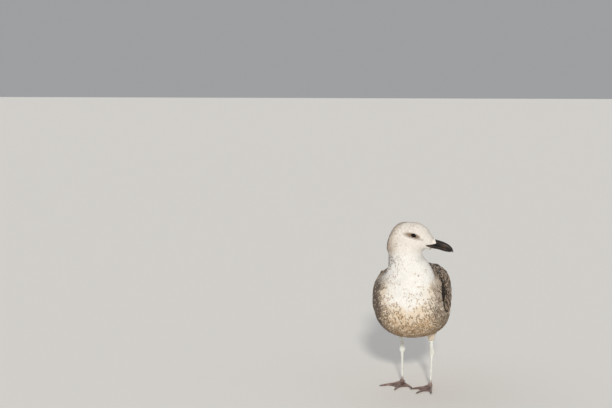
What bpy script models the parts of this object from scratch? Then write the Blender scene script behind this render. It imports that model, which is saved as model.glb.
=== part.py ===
"""A first-winter yellow-legged gull at life size, standing still with its head turned to its left.

The bird faces -Y, its left side is +X and the floor is z = 0. It is laid out about a point on the
floor between its feet, and the last step moves the whole bird so that the middle of its box is at
the origin. Feathered parts are modelled to the outline of the plumage.
"""

from math import cos, pi, radians, sin

import bmesh
import bpy
import numpy as np
from mathutils import Matrix, Vector

MM = 0.001
GAP = 0.3 * MM  # between pieces that touch
POCKET_GAP = 0.35 * MM

# Trunk: y, top z, bottom z, half width (mm), from the breast to the rump, and how square its
# underside is there; 2 is an ellipse.
TRUNK_STATIONS = (
    (-146, 206, 192, 8, 2.2),
    (-142, 228, 172, 31, 2.2),
    (-129, 248, 153, 51, 2.2),
    (-108, 263, 136, 66, 2.2),
    (-80, 271, 125, 75, 2.25),
    (-44, 274, 118.5, 79, 2.35),
    (-4, 273, 115, 77, 2.6),
    (36, 267, 115.5, 70, 2.9),
    (76, 257, 125, 60, 2.9),
    (116, 243, 143, 46.5, 2.6),
    (150, 226, 160, 32, 2.3),
    (175, 211, 174, 22, 2.2),
)
TRUNK_TOP_POWER = 3.2

# Neck: z, x and y of the middle, half width along X, half depth along Y (mm).
NECK_STATIONS = (
    (196, 0, -84, 58, 46),
    (226, 2, -89, 58, 49),
    (248, 5, -93, 56, 46),
    (266, 8, -96, 52, 42),
    (281, 8, -99, 46, 38),
    (290, 6, -100, 43, 36),
    (299, 3, -101, 40, 34.5),
    (310, 0, -101, 36.5, 32.5),
    (322, -1.5, -101, 35, 29),
    (334, -2.5, -101, 32.5, 25),
)
NECK_POWER = 2.1

# The head's own frame: u runs forward to the bill, v to its left and w up through the crown.
HEAD_CENTRE = Vector((4, -101, 341)) * MM
HEAD_TURN = 90.0  # degrees to its left from straight ahead
HEAD_DIP = 13.0  # degrees the bill points down
# Head: u, top w, bottom w, half width (mm), from the bill's feather edge to the nape.
HEAD_STATIONS = (
    (55.5, 12.5, -8, 7),
    (51, 18, -10.5, 10.5),
    (43, 24.8, -15.5, 15),
    (32, 33.8, -23.5, 20.5),
    (18, 38.8, -30, 25.5),
    (2, 37.2, -34, 28.5),
    (-14, 33.2, -37, 30),
    (-27, 26.5, -38, 28.8),
    (-35, 13, -37, 23.5),
    (-38.5, -2, -32, 15),
)
HEAD_POWER = 2.15

BODY_VOXEL = 3.6 * MM
BODY_SMOOTH_STEPS = 7
BODY_TRIANGLES = 2780
HEAD_CUT = (Vector((0, -101, 311)) * MM, Vector((0, 0, 1)))
NECK_CUT = (Vector((0, -98, 252)) * MM, Vector((0, -0.38, 0.925)))

# Bill: u, top w, bottom w, half width (mm), from inside the face to the tip.
UPPER_BILL_STATIONS = (
    (38, 8.5, -2.0, 4.6),
    (46, 12.6, -0.9, 6.6),
    (54, 13.7, 0.9, 6.6),
    (64, 13.9, 1.9, 6.0),
    (73, 13.5, 2.0, 5.5),
    (81, 12.4, 1.6, 5.0),
    (88, 10.3, 0.4, 4.2),
    (94, 7.0, -1.2, 3.2),
    (98, 3.0, -2.6, 2.0),
    (99.8, 0.1, -2.9, 0.9),
)
LOWER_BILL_STATIONS = (
    (38, -2.9, -5.8, 3.4),
    (46, -1.6, -6.6, 5.4),
    (54, 0.2, -5.9, 5.4),
    (64, 1.2, -5.0, 4.8),
    (73, 1.3, -4.8, 4.3),
    (81, 0.9, -5.0, 3.8),
    (88, -0.4, -4.2, 2.9),
    (93, -2.0, -3.4, 1.5),
)
BILL_TOP_POWER = 1.9
BILL_TOMIUM_POWER = 4.0  # the cutting edges are nearly square

EYE_RADIUS = 8.0 * MM
EYE_AT = Vector((14.6, 19.0, 12.0)) * MM  # u, v and w of its middle

# Folded wing: y, then half width, top z and bottom z of the round it lies on (mm), the
# degrees on that round of its upper and lower edges, and its thickness (mm).
WING_STATIONS = (
    (-91, 74.5, 271, 129, 26, 5, 6),
    (-84, 77, 273, 126, 38, -6, 8.5),
    (-70, 79.5, 275, 122.5, 53, -15, 11),
    (-44, 81.5, 277.5, 119, 67, -22, 12),
    (-4, 80, 278, 117, 72, -25, 12),
    (36, 73, 273, 120, 77, -25, 12),
    (76, 63.5, 263.5, 131, 82, -22, 11),
    (116, 51.5, 249.5, 147, 86, -18, 10),
    (150, 38.5, 233.5, 157, 87.5, -13, 8.5),
    (190, 27, 218, 160, 87.5, -9, 6.5),
    (236, 16, 203, 162, 86, -7, 4.8),
    (276, 10, 190, 163, 83, -6, 3.6),
    (312, 6.2, 178.8, 164, 78, -5, 2.8),
    (324, 4.6, 174.5, 163.5, 72, -4, 2.0),
)
WING_BOTTOM_POWER = 2.25
WING_TOP_POWER = {"left": 3.7, "right": 3.0}  # the left shoulder's feathers stand fuller

# Closed tail: y, z of its top at the middle, half width, thickness (mm).
TAIL_STATIONS = (
    (128, 193, 15, 9),
    (150, 189, 19, 8.5),
    (180, 183, 22, 7),
    (215, 176.5, 25, 5),
    (250, 170.5, 27.5, 3.6),
    (268, 168, 27, 2.6),
)
TAIL_ROOF = 0.16  # how far an edge hangs below the middle, as a share of the half width

# Legs: x, y and z of the ankle, then x and y of the toe joint (mm).
LEGS = {"right": (-36, 23, 76, -33, 12), "left": (33.5, 13, 73.5, 34.3, -4)}
TOE_JOINT_Z = 9.5
TOES = {"outer": 52, "middle": 60, "inner": 44}  # lengths (mm)
TOE_TURNS = {  # degrees outwards from straight ahead
    "right": {"outer": 46, "middle": 1, "inner": -40},
    "left": {"outer": 14, "middle": -15, "inner": -50},
}
TOE_SHARES = (0.0, 0.16, 0.4, 0.62, 0.82, 1.0)
TOE_RADII = (3.3, 3.5, 2.7, 2.9, 2.3, 1.9)
TOE_REST_Z = 2.1
WEB_THICK = 1.3
WEB_SAG = 0.2  # how far the web's edge curves in between two toes
CLAW_LENGTH = 6.5
HIND_TOE_LENGTH = 7.5

COLOURS = {  # red, green, blue, roughness
    "plumage": (0.80, 0.77, 0.72, 0.85),
    "wing": (0.33, 0.29, 0.25, 0.8),
    "tail": (0.30, 0.26, 0.23, 0.8),
    "bill": (0.035, 0.032, 0.032, 0.42),
    "eye": (0.02, 0.013, 0.01, 0.06),
    "leg": (0.68, 0.62, 0.58, 0.55),
    "foot": (0.50, 0.42, 0.40, 0.6),
    "claw": (0.04, 0.035, 0.033, 0.4),
}


def collection(name):
    made = bpy.data.collections.new(name)
    bpy.context.scene.collection.children.link(made)
    return made


def material(name):
    red, green, blue, roughness = COLOURS[name]
    made = bpy.data.materials.new(name)
    made.use_nodes = True
    shader = made.node_tree.nodes["Principled BSDF"]
    shader.inputs["Base Color"].default_value = (red, green, blue, 1)
    shader.inputs["Roughness"].default_value = roughness
    return made


def eased_rows(stations, spans):
    """Rows read from a Catmull-Rom curve through the stations, with so many spans to each."""
    rows = np.array(stations, float)
    padded = np.vstack([2 * rows[0] - rows[1], rows, 2 * rows[-1] - rows[-2]])
    made = []
    for i in range(len(rows) - 1):
        before, start, end, after = padded[i : i + 4]
        for t in np.arange(spans) / spans:
            bend = 2 * before - 5 * start + 4 * end - after
            twist = 3 * start - before - 3 * end + after
            made.append(start + 0.5 * t * (end - before + t * (bend + t * twist)))
    return np.array(made + [rows[-1]])


def oval_point(half_width, top, bottom, turn, top_power, bottom_power):
    """A point on a superellipse whose upper and lower halves may differ, as (across, up)."""
    power = 2 / (top_power if sin(turn) > 0 else bottom_power)
    across = half_width * abs(cos(turn)) ** power * (1 if cos(turn) > 0 else -1)
    up = (top - bottom) / 2 * abs(sin(turn)) ** power * (1 if sin(turn) > 0 else -1)
    return Vector((across, (top + bottom) / 2 + up))


def oval(half_width, top, bottom, sides, top_power=2.0, bottom_power=2.0):
    """Points all the way round such a superellipse."""
    turns = [2 * pi * i / sides for i in range(sides)]
    return [oval_point(half_width, top, bottom, a, top_power, bottom_power) for a in turns]


def loft(name, rings):
    """A closed mesh object through rings of equal length, with a fan of faces on each end."""
    form = bmesh.new()
    loops = [[form.verts.new(point) for point in ring] for ring in rings]
    sides = len(rings[0])
    for lower, upper in zip(loops, loops[1:]):
        for i in range(sides):
            j = (i + 1) % sides
            form.faces.new((lower[i], lower[j], upper[j], upper[i]))
    for loop in (loops[0], loops[-1]):
        hub = form.verts.new(sum((corner.co for corner in loop), Vector()) / sides)
        for i in range(sides):
            form.faces.new((loop[i], loop[(i + 1) % sides], hub))
    bmesh.ops.triangulate(form, faces=form.faces)
    bmesh.ops.recalc_face_normals(form, faces=form.faces)
    mesh = bpy.data.meshes.new(name)
    form.to_mesh(mesh)
    form.free()
    mesh.shade_smooth()
    mesh.set_sharp_from_angle(angle=radians(50))
    return bpy.data.objects.new(name, mesh)


def tube(name, path, radii, sides=10, flatten=1.0):
    """A tapered tube along a path of points; flatten scales it across the path, level with the floor."""
    rings = []
    for i, point in enumerate(path):
        along = (path[min(i + 1, len(path) - 1)] - path[max(i - 1, 0)]).normalized()
        up = Vector((0, 0, 1)) if abs(along.z) < 0.8 else Vector((0, -1, 0))
        across = along.cross(up).normalized()
        up = across.cross(along)
        rings.append(
            [
                point + radii[i] * (flatten * cos(turn) * across + sin(turn) * up)
                for turn in (2 * pi * (k + 0.5) / sides for k in range(sides))
            ]
        )
    return loft(name, rings)


def head_frame():
    """The matrix that takes (u, v, w) of the head to the bird's own coordinates."""
    facing = Matrix.Rotation(radians(HEAD_TURN - 90), 4, "Z")
    return Matrix.Translation(HEAD_CENTRE) @ facing @ Matrix.Rotation(radians(HEAD_DIP), 4, "Y")


def head_loft(name, stations, sides, spans, top_power, bottom_power):
    """A loft along the head's own length, with its rings square to u."""
    frame = head_frame()
    rings = [
        [
            frame @ Vector((u, across, up))
            for across, up in oval(half_width, top, bottom, sides, top_power, bottom_power)
        ]
        for u, top, bottom, half_width in eased_rows(stations, spans) * MM
    ]
    return loft(name, rings)


def trunk_loft():
    rings = [
        [
            Vector((across, y * MM, up))
            for across, up in oval(
                half_width * MM, top * MM, bottom * MM, 36, TRUNK_TOP_POWER, bottom_power
            )
        ]
        for y, top, bottom, half_width, bottom_power in eased_rows(TRUNK_STATIONS, 3)
    ]
    return loft("trunk_form", rings)


def neck_loft():
    rings = [
        [
            Vector((x + across, y + back, z))
            for across, back in oval(half_width, half_depth, -half_depth, 32, NECK_POWER, NECK_POWER)
        ]
        for z, x, y, half_width, half_depth in eased_rows(NECK_STATIONS, 3) * MM
    ]
    return loft("neck_form", rings)


def evaluated_mesh(maker):
    graph = bpy.context.evaluated_depsgraph_get()
    return bpy.data.meshes.new_from_object(maker.evaluated_get(graph), depsgraph=graph)


def whole_body():
    """Trunk, neck and head run together into one smooth closed mesh."""
    forms = (
        trunk_loft(),
        neck_loft(),
        head_loft("head_form", HEAD_STATIONS, 32, 3, HEAD_POWER, HEAD_POWER),
    )
    joined = bmesh.new()
    for form in forms:
        joined.from_mesh(form.data)
        bpy.data.objects.remove(form)
    mesh = bpy.data.meshes.new("body_form")
    joined.to_mesh(mesh)
    joined.free()
    body = bpy.data.objects.new("body_form", mesh)
    bpy.context.scene.collection.objects.link(body)
    remesh = body.modifiers.new("run_together", "REMESH")
    remesh.mode = "VOXEL"
    remesh.voxel_size = BODY_VOXEL
    smooth = body.modifiers.new("ease", "SMOOTH")
    smooth.factor = 0.5
    smooth.iterations = BODY_SMOOTH_STEPS
    fine = evaluated_mesh(body)
    fine.calc_loop_triangles()
    thin = body.modifiers.new("thin", "DECIMATE")
    thin.ratio = BODY_TRIANGLES / len(fine.loop_triangles)
    whole = evaluated_mesh(body)
    bpy.data.objects.remove(body)
    return whole


def between_planes(name, whole, planes):
    """The piece of a closed mesh on the far side of each (point, normal), with its cuts filled."""
    form = bmesh.new()
    form.from_mesh(whole)
    for point, normal in planes:
        bmesh.ops.bisect_plane(
            form,
            geom=form.verts[:] + form.edges[:] + form.faces[:],
            plane_co=point + normal * (GAP / 2),
            plane_no=normal,
            clear_inner=True,
        )
        rim = [edge for edge in form.edges if edge.is_boundary]
        bmesh.ops.contextual_create(form, geom=rim)
    bmesh.ops.triangulate(form, faces=form.faces)
    bmesh.ops.recalc_face_normals(form, faces=form.faces)
    mesh = bpy.data.meshes.new(name)
    form.to_mesh(mesh)
    form.free()
    mesh.shade_smooth()
    mesh.set_sharp_from_angle(angle=radians(50))
    return bpy.data.objects.new(name, mesh)


def wing(side):
    """A folded wing: each ring is a crescent lying on the bird's side, from its back to its flank."""
    mirror = 1 if side == "left" else -1
    steps = 9
    rings = []
    for row in WING_STATIONS:
        y, half_width, top, bottom = (value * MM for value in row[:4])
        start, end, thick = radians(row[4]), radians(row[5]), row[6] * MM
        outer, inner = [], []
        for t in (k / (steps - 1) for k in range(steps)):
            turn = start + (end - start) * t
            here, after, before = (
                oval_point(half_width, top, bottom, a, WING_TOP_POWER[side], WING_BOTTOM_POWER)
                for a in (turn, turn - 0.02, turn + 0.02)
            )
            down = (after - before).normalized()
            out = Vector((-down.y, down.x))
            outer.append(here)
            inner.append(here - out * thick * (0.3 + 0.7 * max(0, cos(pi / 2 * t)) ** 0.5))
        rings.append([Vector((mirror * p.x, y, p.y)) for p in outer + inner[::-1]])
    return loft("wing_" + side, rings)


def tail():
    """The closed tail, roofed along its middle and rounded at its end."""
    rings = []
    for y, top_z, half_width, thick in eased_rows(TAIL_STATIONS, 1) * MM:
        ring = []
        for across, up in oval(half_width, 0, -thick, 20, 2.0, 5.0):
            ring.append(Vector((across, y, top_z + up - TAIL_ROOF * abs(across))))
        rings.append(ring)
    return loft("tail", rings)


def eye(side):
    form = bmesh.new()
    bmesh.ops.create_uvsphere(form, u_segments=14, v_segments=9, radius=EYE_RADIUS)
    mirror = 1 if side == "left" else -1
    at = Vector((EYE_AT.x, mirror * EYE_AT.y, EYE_AT.z))
    form.transform(head_frame() @ Matrix.Translation(at))
    mesh = bpy.data.meshes.new("eye_" + side)
    form.to_mesh(mesh)
    form.free()
    mesh.shade_smooth()
    return bpy.data.objects.new("eye_" + side, mesh)


def leg_points(side):
    ankle_x, ankle_y, ankle_z, joint_x, joint_y = LEGS[side]
    hip = Vector((ankle_x * 1.04, ankle_y - 25, 147)) * MM
    ankle = Vector((ankle_x, ankle_y, ankle_z)) * MM
    joint = Vector((joint_x, joint_y, TOE_JOINT_Z)) * MM
    return hip, ankle, joint


def shares(start, end, values):
    return [start.lerp(end, value) for value in values]


def thigh(side):
    """The feathered upper leg, down to where the bare leg shows."""
    hip, ankle, _ = leg_points(side)
    path = shares(hip, ankle, (0.0, 0.16, 0.32, 0.46, 0.56))
    radii = [r * MM for r in (20, 17, 12.5, 8.6, 6.2)]
    return tube("thigh_" + side, path, radii, 14)


def shin(side):
    """The bare lower tibia and the ankle."""
    hip, ankle, joint = leg_points(side)
    down = (ankle - hip).normalized()
    start = hip.lerp(ankle, 0.56) + down * GAP
    path = shares(start, ankle, (0.0, 0.3, 0.6, 0.82, 1.0))
    path.append(ankle + (joint - ankle).normalized() * 5.5 * MM)
    radii = [r * MM for r in (4.9, 4.5, 4.6, 5.4, 6.0, 4.4)]
    return tube("shin_" + side, path, radii, 12)


def tarsus(side):
    _, ankle, joint = leg_points(side)
    down = (joint - ankle).normalized()
    start, end = ankle + down * (5.5 * MM + GAP), joint - down * 1.2 * MM
    path = shares(start, end, (0.0, 0.1, 0.25, 0.5, 0.8, 0.93, 1.0))
    radii = [r * MM for r in (4.2, 3.4, 2.9, 2.6, 2.7, 3.2, 3.6)]
    return tube("tarsus_" + side, path, radii, 12, flatten=0.78)


def toe_direction(side, toe):
    outwards = radians(TOE_TURNS[side][toe]) * (1 if side == "left" else -1)
    return Vector((sin(outwards), -cos(outwards), 0))


def toe_path(side, toe):
    """From the joint down to the floor and along it, a little lower between the knuckles."""
    joint = leg_points(side)[2] - Vector((0, 0, 4.4)) * MM
    reach = toe_direction(side, toe) * TOES[toe] * MM
    path = []
    for share in TOE_SHARES:
        drop = (1 - (1 - min(1, share / 0.55)) ** 2) * (joint.z - TOE_REST_Z * MM)
        path.append(joint + reach * share - Vector((0, 0, drop)))
    return path


def web(side):
    """The membrane between the three front toes, as a flat outline with hollowed edges."""
    heel = leg_points(side)[2] * 1.0
    tips = [toe_path(side, toe)[-2] for toe in ("outer", "middle", "inner")]
    outline = [heel.copy()]
    for start, end in zip(tips, tips[1:]):
        inward = (heel - (start + end) / 2) * WEB_SAG
        outline += [
            start.lerp(end, t) + inward * 4 * t * (1 - t) for t in np.linspace(0, 0.9, 6)
        ]
    outline.append(tips[-1])
    curve = bpy.data.curves.new("web_" + side, "CURVE")
    curve.dimensions = "2D"
    curve.fill_mode = "BOTH"
    curve.extrude = WEB_THICK * MM / 2
    spline = curve.splines.new("POLY")
    spline.points.add(len(outline) - 1)
    for point, place in zip(spline.points, outline):
        point.co = (place.x, place.y, 0, 1)
    spline.use_cyclic_u = True
    flat = bpy.data.objects.new("web_" + side, curve)
    bpy.context.scene.collection.objects.link(flat)
    form = bmesh.new()
    form.from_mesh(evaluated_mesh(flat))
    bpy.data.objects.remove(flat)
    bmesh.ops.remove_doubles(form, verts=form.verts, dist=1e-6)
    bmesh.ops.translate(form, verts=form.verts, vec=(0, 0, (0.35 + WEB_THICK / 2) * MM))
    bmesh.ops.recalc_face_normals(form, faces=form.faces)
    mesh = bpy.data.meshes.new("web_" + side)
    form.to_mesh(mesh)
    form.free()
    return bpy.data.objects.new("web_" + side, mesh)


def hind_toe_path(side):
    joint = leg_points(side)[2]
    inwards = -1 if side == "left" else 1
    step = Vector((inwards * 0.45, 0.85, -0.1)).normalized() * HIND_TOE_LENGTH * MM
    start = joint - Vector((0, 0, 3.6)) * MM
    return [start, start + step * 0.6, start + step]


def palm(side):
    """The joint where the toes meet, with a flat top under the tarsus."""
    _, ankle, joint = leg_points(side)
    up = (ankle - joint).normalized()
    top = joint + up * (1.2 * MM - GAP)
    floor = Vector((joint.x, joint.y - 2 * MM, -0.3 * MM))
    path = [top, joint.lerp(floor, 0.3), joint.lerp(floor, 0.65), floor]
    radii = [r * MM for r in (4.0, 5.0, 4.8, 3.6)]
    return tube("palm_" + side, path, radii, 12)


def settled(obj):
    """The same form pressed flat where it would reach through the floor."""
    for vertex in obj.data.vertices:
        vertex.co.z = max(vertex.co.z, 0.0)
    return obj


def as_cutter(obj, cutters):
    obj.name += "_cutter"
    obj.hide_render = True
    obj.display_type = "WIRE"
    cutters.objects.link(obj)
    return obj


def boolean(obj, other, operation):
    modifier = obj.modifiers.new(f"{operation.lower()}_{other.name}", "BOOLEAN")
    modifier.operation = operation
    modifier.object = other


def pocket(flesh, tool, cutters):
    """Cuts room for one piece, and the gap all round it, out of another."""
    form = bmesh.new()
    form.from_mesh(tool.data)
    form.normal_update()
    for vertex in form.verts:
        vertex.co += vertex.normal * POCKET_GAP * vertex.calc_shell_factor()
    mesh = bpy.data.meshes.new(f"{flesh.name}_{tool.name}")
    form.to_mesh(mesh)
    form.free()
    made = as_cutter(bpy.data.objects.new(mesh.name, mesh), cutters)
    boolean(flesh, made, "DIFFERENCE")


def foot(side, cutters):
    """Palm, three webbed toes and the hind toe as one solid, flat where it stands."""
    made = settled(palm(side))
    made.name = "foot_" + side
    added = [web(side)]
    for toe in TOES:
        radii = [r * MM for r in TOE_RADII]
        added.append(settled(tube(f"toe_{side}_{toe}", toe_path(side, toe), radii, 8)))
    hind = [r * MM for r in (2.6, 2.1, 1.5)]
    added.append(tube(f"toe_{side}_hind", hind_toe_path(side), hind, 8))
    for piece in added:
        boolean(made, as_cutter(piece, cutters), "UNION")
    return made


def claw(side, toe):
    """A short curved claw, from just past the end of its toe."""
    path = hind_toe_path(side) if toe == "hind" else toe_path(side, toe)
    ahead = (path[-1] - path[-2]).normalized()
    start = path[-1] + ahead * GAP
    length, base = (3.2, 1.2) if toe == "hind" else (CLAW_LENGTH, 1.75)
    drop = 0.0 if toe == "hind" else 0.9
    points, radii = [], []
    for share in (0.0, 0.35, 0.7, 1.0):
        lower = Vector((0, 0, -drop * share * share))
        points.append(start + (ahead * share * length + lower) * MM)
        radii.append(base * MM * (1 - 0.8 * share))
    return tube(f"claw_{side}_{toe}", points, radii, 6)


def finish(obj, parts, look, materials):
    obj.data.materials.append(materials[look])
    parts.objects.link(obj)
    return obj


def centre_on_box(parts):
    """Moves the bird so that the middle of its box stands at the origin."""
    bpy.context.view_layer.update()
    graph = bpy.context.evaluated_depsgraph_get()
    corners = np.array(
        [o.matrix_world @ Vector(c) for o in parts for c in o.evaluated_get(graph).bound_box]
    )
    middle = (corners.min(0) + corners.max(0)) / 2
    shift = Matrix.Translation((-middle[0], -middle[1], 0))
    for mesh in {o.data for o in bpy.data.objects if o.type == "MESH"}:
        mesh.transform(shift)


def main():
    for old in list(bpy.data.objects):
        bpy.data.objects.remove(old)
    parts, cutters = collection("gull"), collection("cutters")
    looks = {name: material(name) for name in COLOURS}
    whole = whole_body()
    head_point, head_up = HEAD_CUT
    neck_point, neck_up = NECK_CUT
    head = between_planes("head", whole, [HEAD_CUT])
    neck = between_planes("neck", whole, [(head_point, -head_up), NECK_CUT])
    trunk = between_planes("trunk", whole, [(neck_point, -neck_up)])
    for flesh in (head, neck, trunk):
        finish(flesh, parts, "plumage", looks)
    bills = {
        "bill_upper": (UPPER_BILL_STATIONS, BILL_TOP_POWER, BILL_TOMIUM_POWER),
        "bill_lower": (LOWER_BILL_STATIONS, BILL_TOMIUM_POWER, BILL_TOP_POWER),
    }
    for name, (stations, over, under) in bills.items():
        horn = finish(head_loft(name, stations, 12, 1, over, under), parts, "bill", looks)
        pocket(head, horn, cutters)
    pocket(trunk, finish(tail(), parts, "tail", looks), cutters)
    for side in ("left", "right"):
        pocket(head, finish(eye(side), parts, "eye", looks), cutters)
        folded = finish(wing(side), parts, "wing", looks)
        pocket(trunk, folded, cutters)
        pocket(neck, folded, cutters)
        pocket(trunk, finish(thigh(side), parts, "plumage", looks), cutters)
        finish(shin(side), parts, "leg", looks)
        finish(tarsus(side), parts, "leg", looks)
        finish(foot(side, cutters), parts, "foot", looks)
        for toe in (*TOES, "hind"):
            finish(claw(side, toe), parts, "claw", looks)
    centre_on_box(parts.objects)


main()
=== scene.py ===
"""The looks of a standing young gull at life size: skin, feathers, bill, eyes, legs and studio.

The bird faces -Y with its left side at +X. Places are laid out in millimetres about a point on the
floor between the feet, and moved with the frame by what the left eye's node says.
"""

import logging
from dataclasses import dataclass, field
from enum import Enum
from math import cos, pi, radians, sin
from typing import Callable, Iterable, Sequence

import bmesh
import bpy
import numpy as np
from mathutils import Matrix, Vector
from mathutils.bvhtree import BVHTree


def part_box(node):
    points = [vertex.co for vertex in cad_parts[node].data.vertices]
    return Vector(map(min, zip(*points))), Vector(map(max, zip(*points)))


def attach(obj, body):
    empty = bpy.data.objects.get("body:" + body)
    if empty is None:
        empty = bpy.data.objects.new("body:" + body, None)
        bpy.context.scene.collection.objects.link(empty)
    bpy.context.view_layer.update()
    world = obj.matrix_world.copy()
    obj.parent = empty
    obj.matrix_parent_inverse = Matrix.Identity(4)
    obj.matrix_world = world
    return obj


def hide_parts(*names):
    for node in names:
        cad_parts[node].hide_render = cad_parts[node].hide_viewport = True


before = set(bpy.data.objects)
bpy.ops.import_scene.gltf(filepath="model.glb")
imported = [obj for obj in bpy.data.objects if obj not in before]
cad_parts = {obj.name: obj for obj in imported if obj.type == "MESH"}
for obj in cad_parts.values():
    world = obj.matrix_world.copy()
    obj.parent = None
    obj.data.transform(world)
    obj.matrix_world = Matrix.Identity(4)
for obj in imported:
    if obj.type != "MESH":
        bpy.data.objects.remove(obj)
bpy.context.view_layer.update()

log = logging.getLogger("gull")
MM = 0.001
BODY = "root"

# Short names for types; a Table's rows are a place and a value, a Stations' rows a place and sizes.
Rows = np.ndarray
Chance = np.random.Generator
Socket = bpy.types.NodeSocket
Look = bpy.types.Material
Mesh = bpy.types.Mesh
Form = bmesh.types.BMesh
Colour = tuple[float, float, float]
Place = tuple[float, float, float]
Table = tuple[tuple[float, float], ...]
Stations = tuple[tuple[float, ...], ...]


class Side(Enum):
    """A side of the bird, whose value is the sign of X there."""

    LEFT = 1
    RIGHT = -1

    def of(self, part: str) -> str:
        """The name of a node or piece on this side."""
        return f"{part}_{self.name.lower()}"


# Sizes and frames


def eased(low: float, high: float, value: Rows) -> Rows:
    """A smooth step from 0 at low to 1 at high.

    Args:
        low: Where the step starts; it may be above high for a falling step.
        high: Where the step ends.
        value: The places to read it at.

    Returns:
        The step's value at each place.
    """
    share = np.clip((value - low) / (high - low), 0, 1)
    return share * share * (3 - 2 * share)


def read_off(table: Table, where: Rows) -> Rows:
    """What a table of places and values says at each place."""
    return np.interp(where, *np.array(table).T)


def unit(rows: Rows) -> Rows:
    """Each row brought to length one."""
    return rows / np.maximum(np.linalg.norm(rows, axis=-1, keepdims=True), 1e-12)


def tangent(rows: Rows, normals: Rows) -> Rows:
    """Each row laid flat on the surface with that normal, at length one."""
    return unit(rows - normals * (rows * normals).sum(-1, keepdims=True))


def cloud(mm: Rows, size: float, seed: int) -> Rows:
    """Smooth random values from 0 to 1 through space.

    Args:
        mm: The places to read it at.
        size: The distance over which it changes, in the places' unit.
        seed: Which field of values.

    Returns:
        The value at each place.
    """
    cell = mm / size
    low = np.floor(cell)
    part = cell - low
    part = part * part * (3 - 2 * part)
    total = np.zeros(len(mm))
    for corner in np.ndindex(2, 2, 2):
        at = (low + corner) @ np.array((127.1, 311.7, 74.7)) + 19.19 * seed
        value = np.sin(at) * 43758.5453
        share = np.where(np.array(corner), part, 1 - part).prod(1)
        total += share * (value - np.floor(value))
    return total


@dataclass(frozen=True)
class Anatomy:
    """Where the head, eyes and legs are, in millimetres from between the feet.

    The head looks to +X. The eyes' places are on its own axes: forward, left and up.
    """

    head_centre: Place = (4, -101, 341)
    head_dip: float = 13.0
    eye_at: Place = (14.6, 19.0, 12.0)
    gaze_at: Place = (17.0, 16.0, 14.4)
    ankle_left: Place = (33.5, 13, 73.5)
    ankle_right: Place = (-36, 23, 76)
    toes_left: Place = (34.3, -4, 9.5)
    toes_right: Place = (-33, 12, 9.5)

    def head_matrix(self) -> Matrix:
        """The matrix from the head's own axes (forward, left, up) to the bird's, in metres."""
        dip = Matrix.Rotation(radians(self.head_dip), 4, "Y")
        return Matrix.Translation(Vector(self.head_centre) * MM) @ dip

    def origin(self) -> Vector:
        """The point between the feet, in the frame of the row."""
        low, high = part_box("eye_left")
        return (low + high) / 2 - self.head_matrix() @ (Vector(self.eye_at) * MM)

    def bird_mm(self, points: Rows) -> Rows:
        """Points of the row's frame, in millimetres from between the feet."""
        return (np.asarray(points) - np.array(self.origin())) / MM

    def head_mm(self, mm: Rows) -> Rows:
        """Points in millimetres from between the feet, on the head's own axes."""
        back = np.array(self.head_matrix().inverted())
        return (mm * MM @ back[:3, :3].T + back[:3, 3]) / MM

    def head_places(self, points: Rows) -> Rows:
        """Points of the row's frame, in millimetres on the head's own axes."""
        return self.head_mm(self.bird_mm(points))

    def joint(self, name: str, side: Side) -> Rows:
        """The middle of an ankle or of a foot's toe joints, in the row's frame."""
        return np.array(getattr(self, side.of(name))) * MM + np.array(self.origin())

    def from_head(self, forward: float, left: float, up: float) -> Vector:
        """A point given on the head's own axes in millimetres, in the row's frame."""
        return self.head_matrix() @ (Vector((forward, left, up)) * MM) + self.origin()

    def head_axis(self, forward: float, left: float, up: float) -> Vector:
        """A direction on the head's own axes, in the row's frame."""
        return (self.head_matrix().to_3x3() @ Vector((forward, left, up))).normalized()


ANATOMY = Anatomy()
ORIGIN = np.array(ANATOMY.origin())


# Finishes


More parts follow.
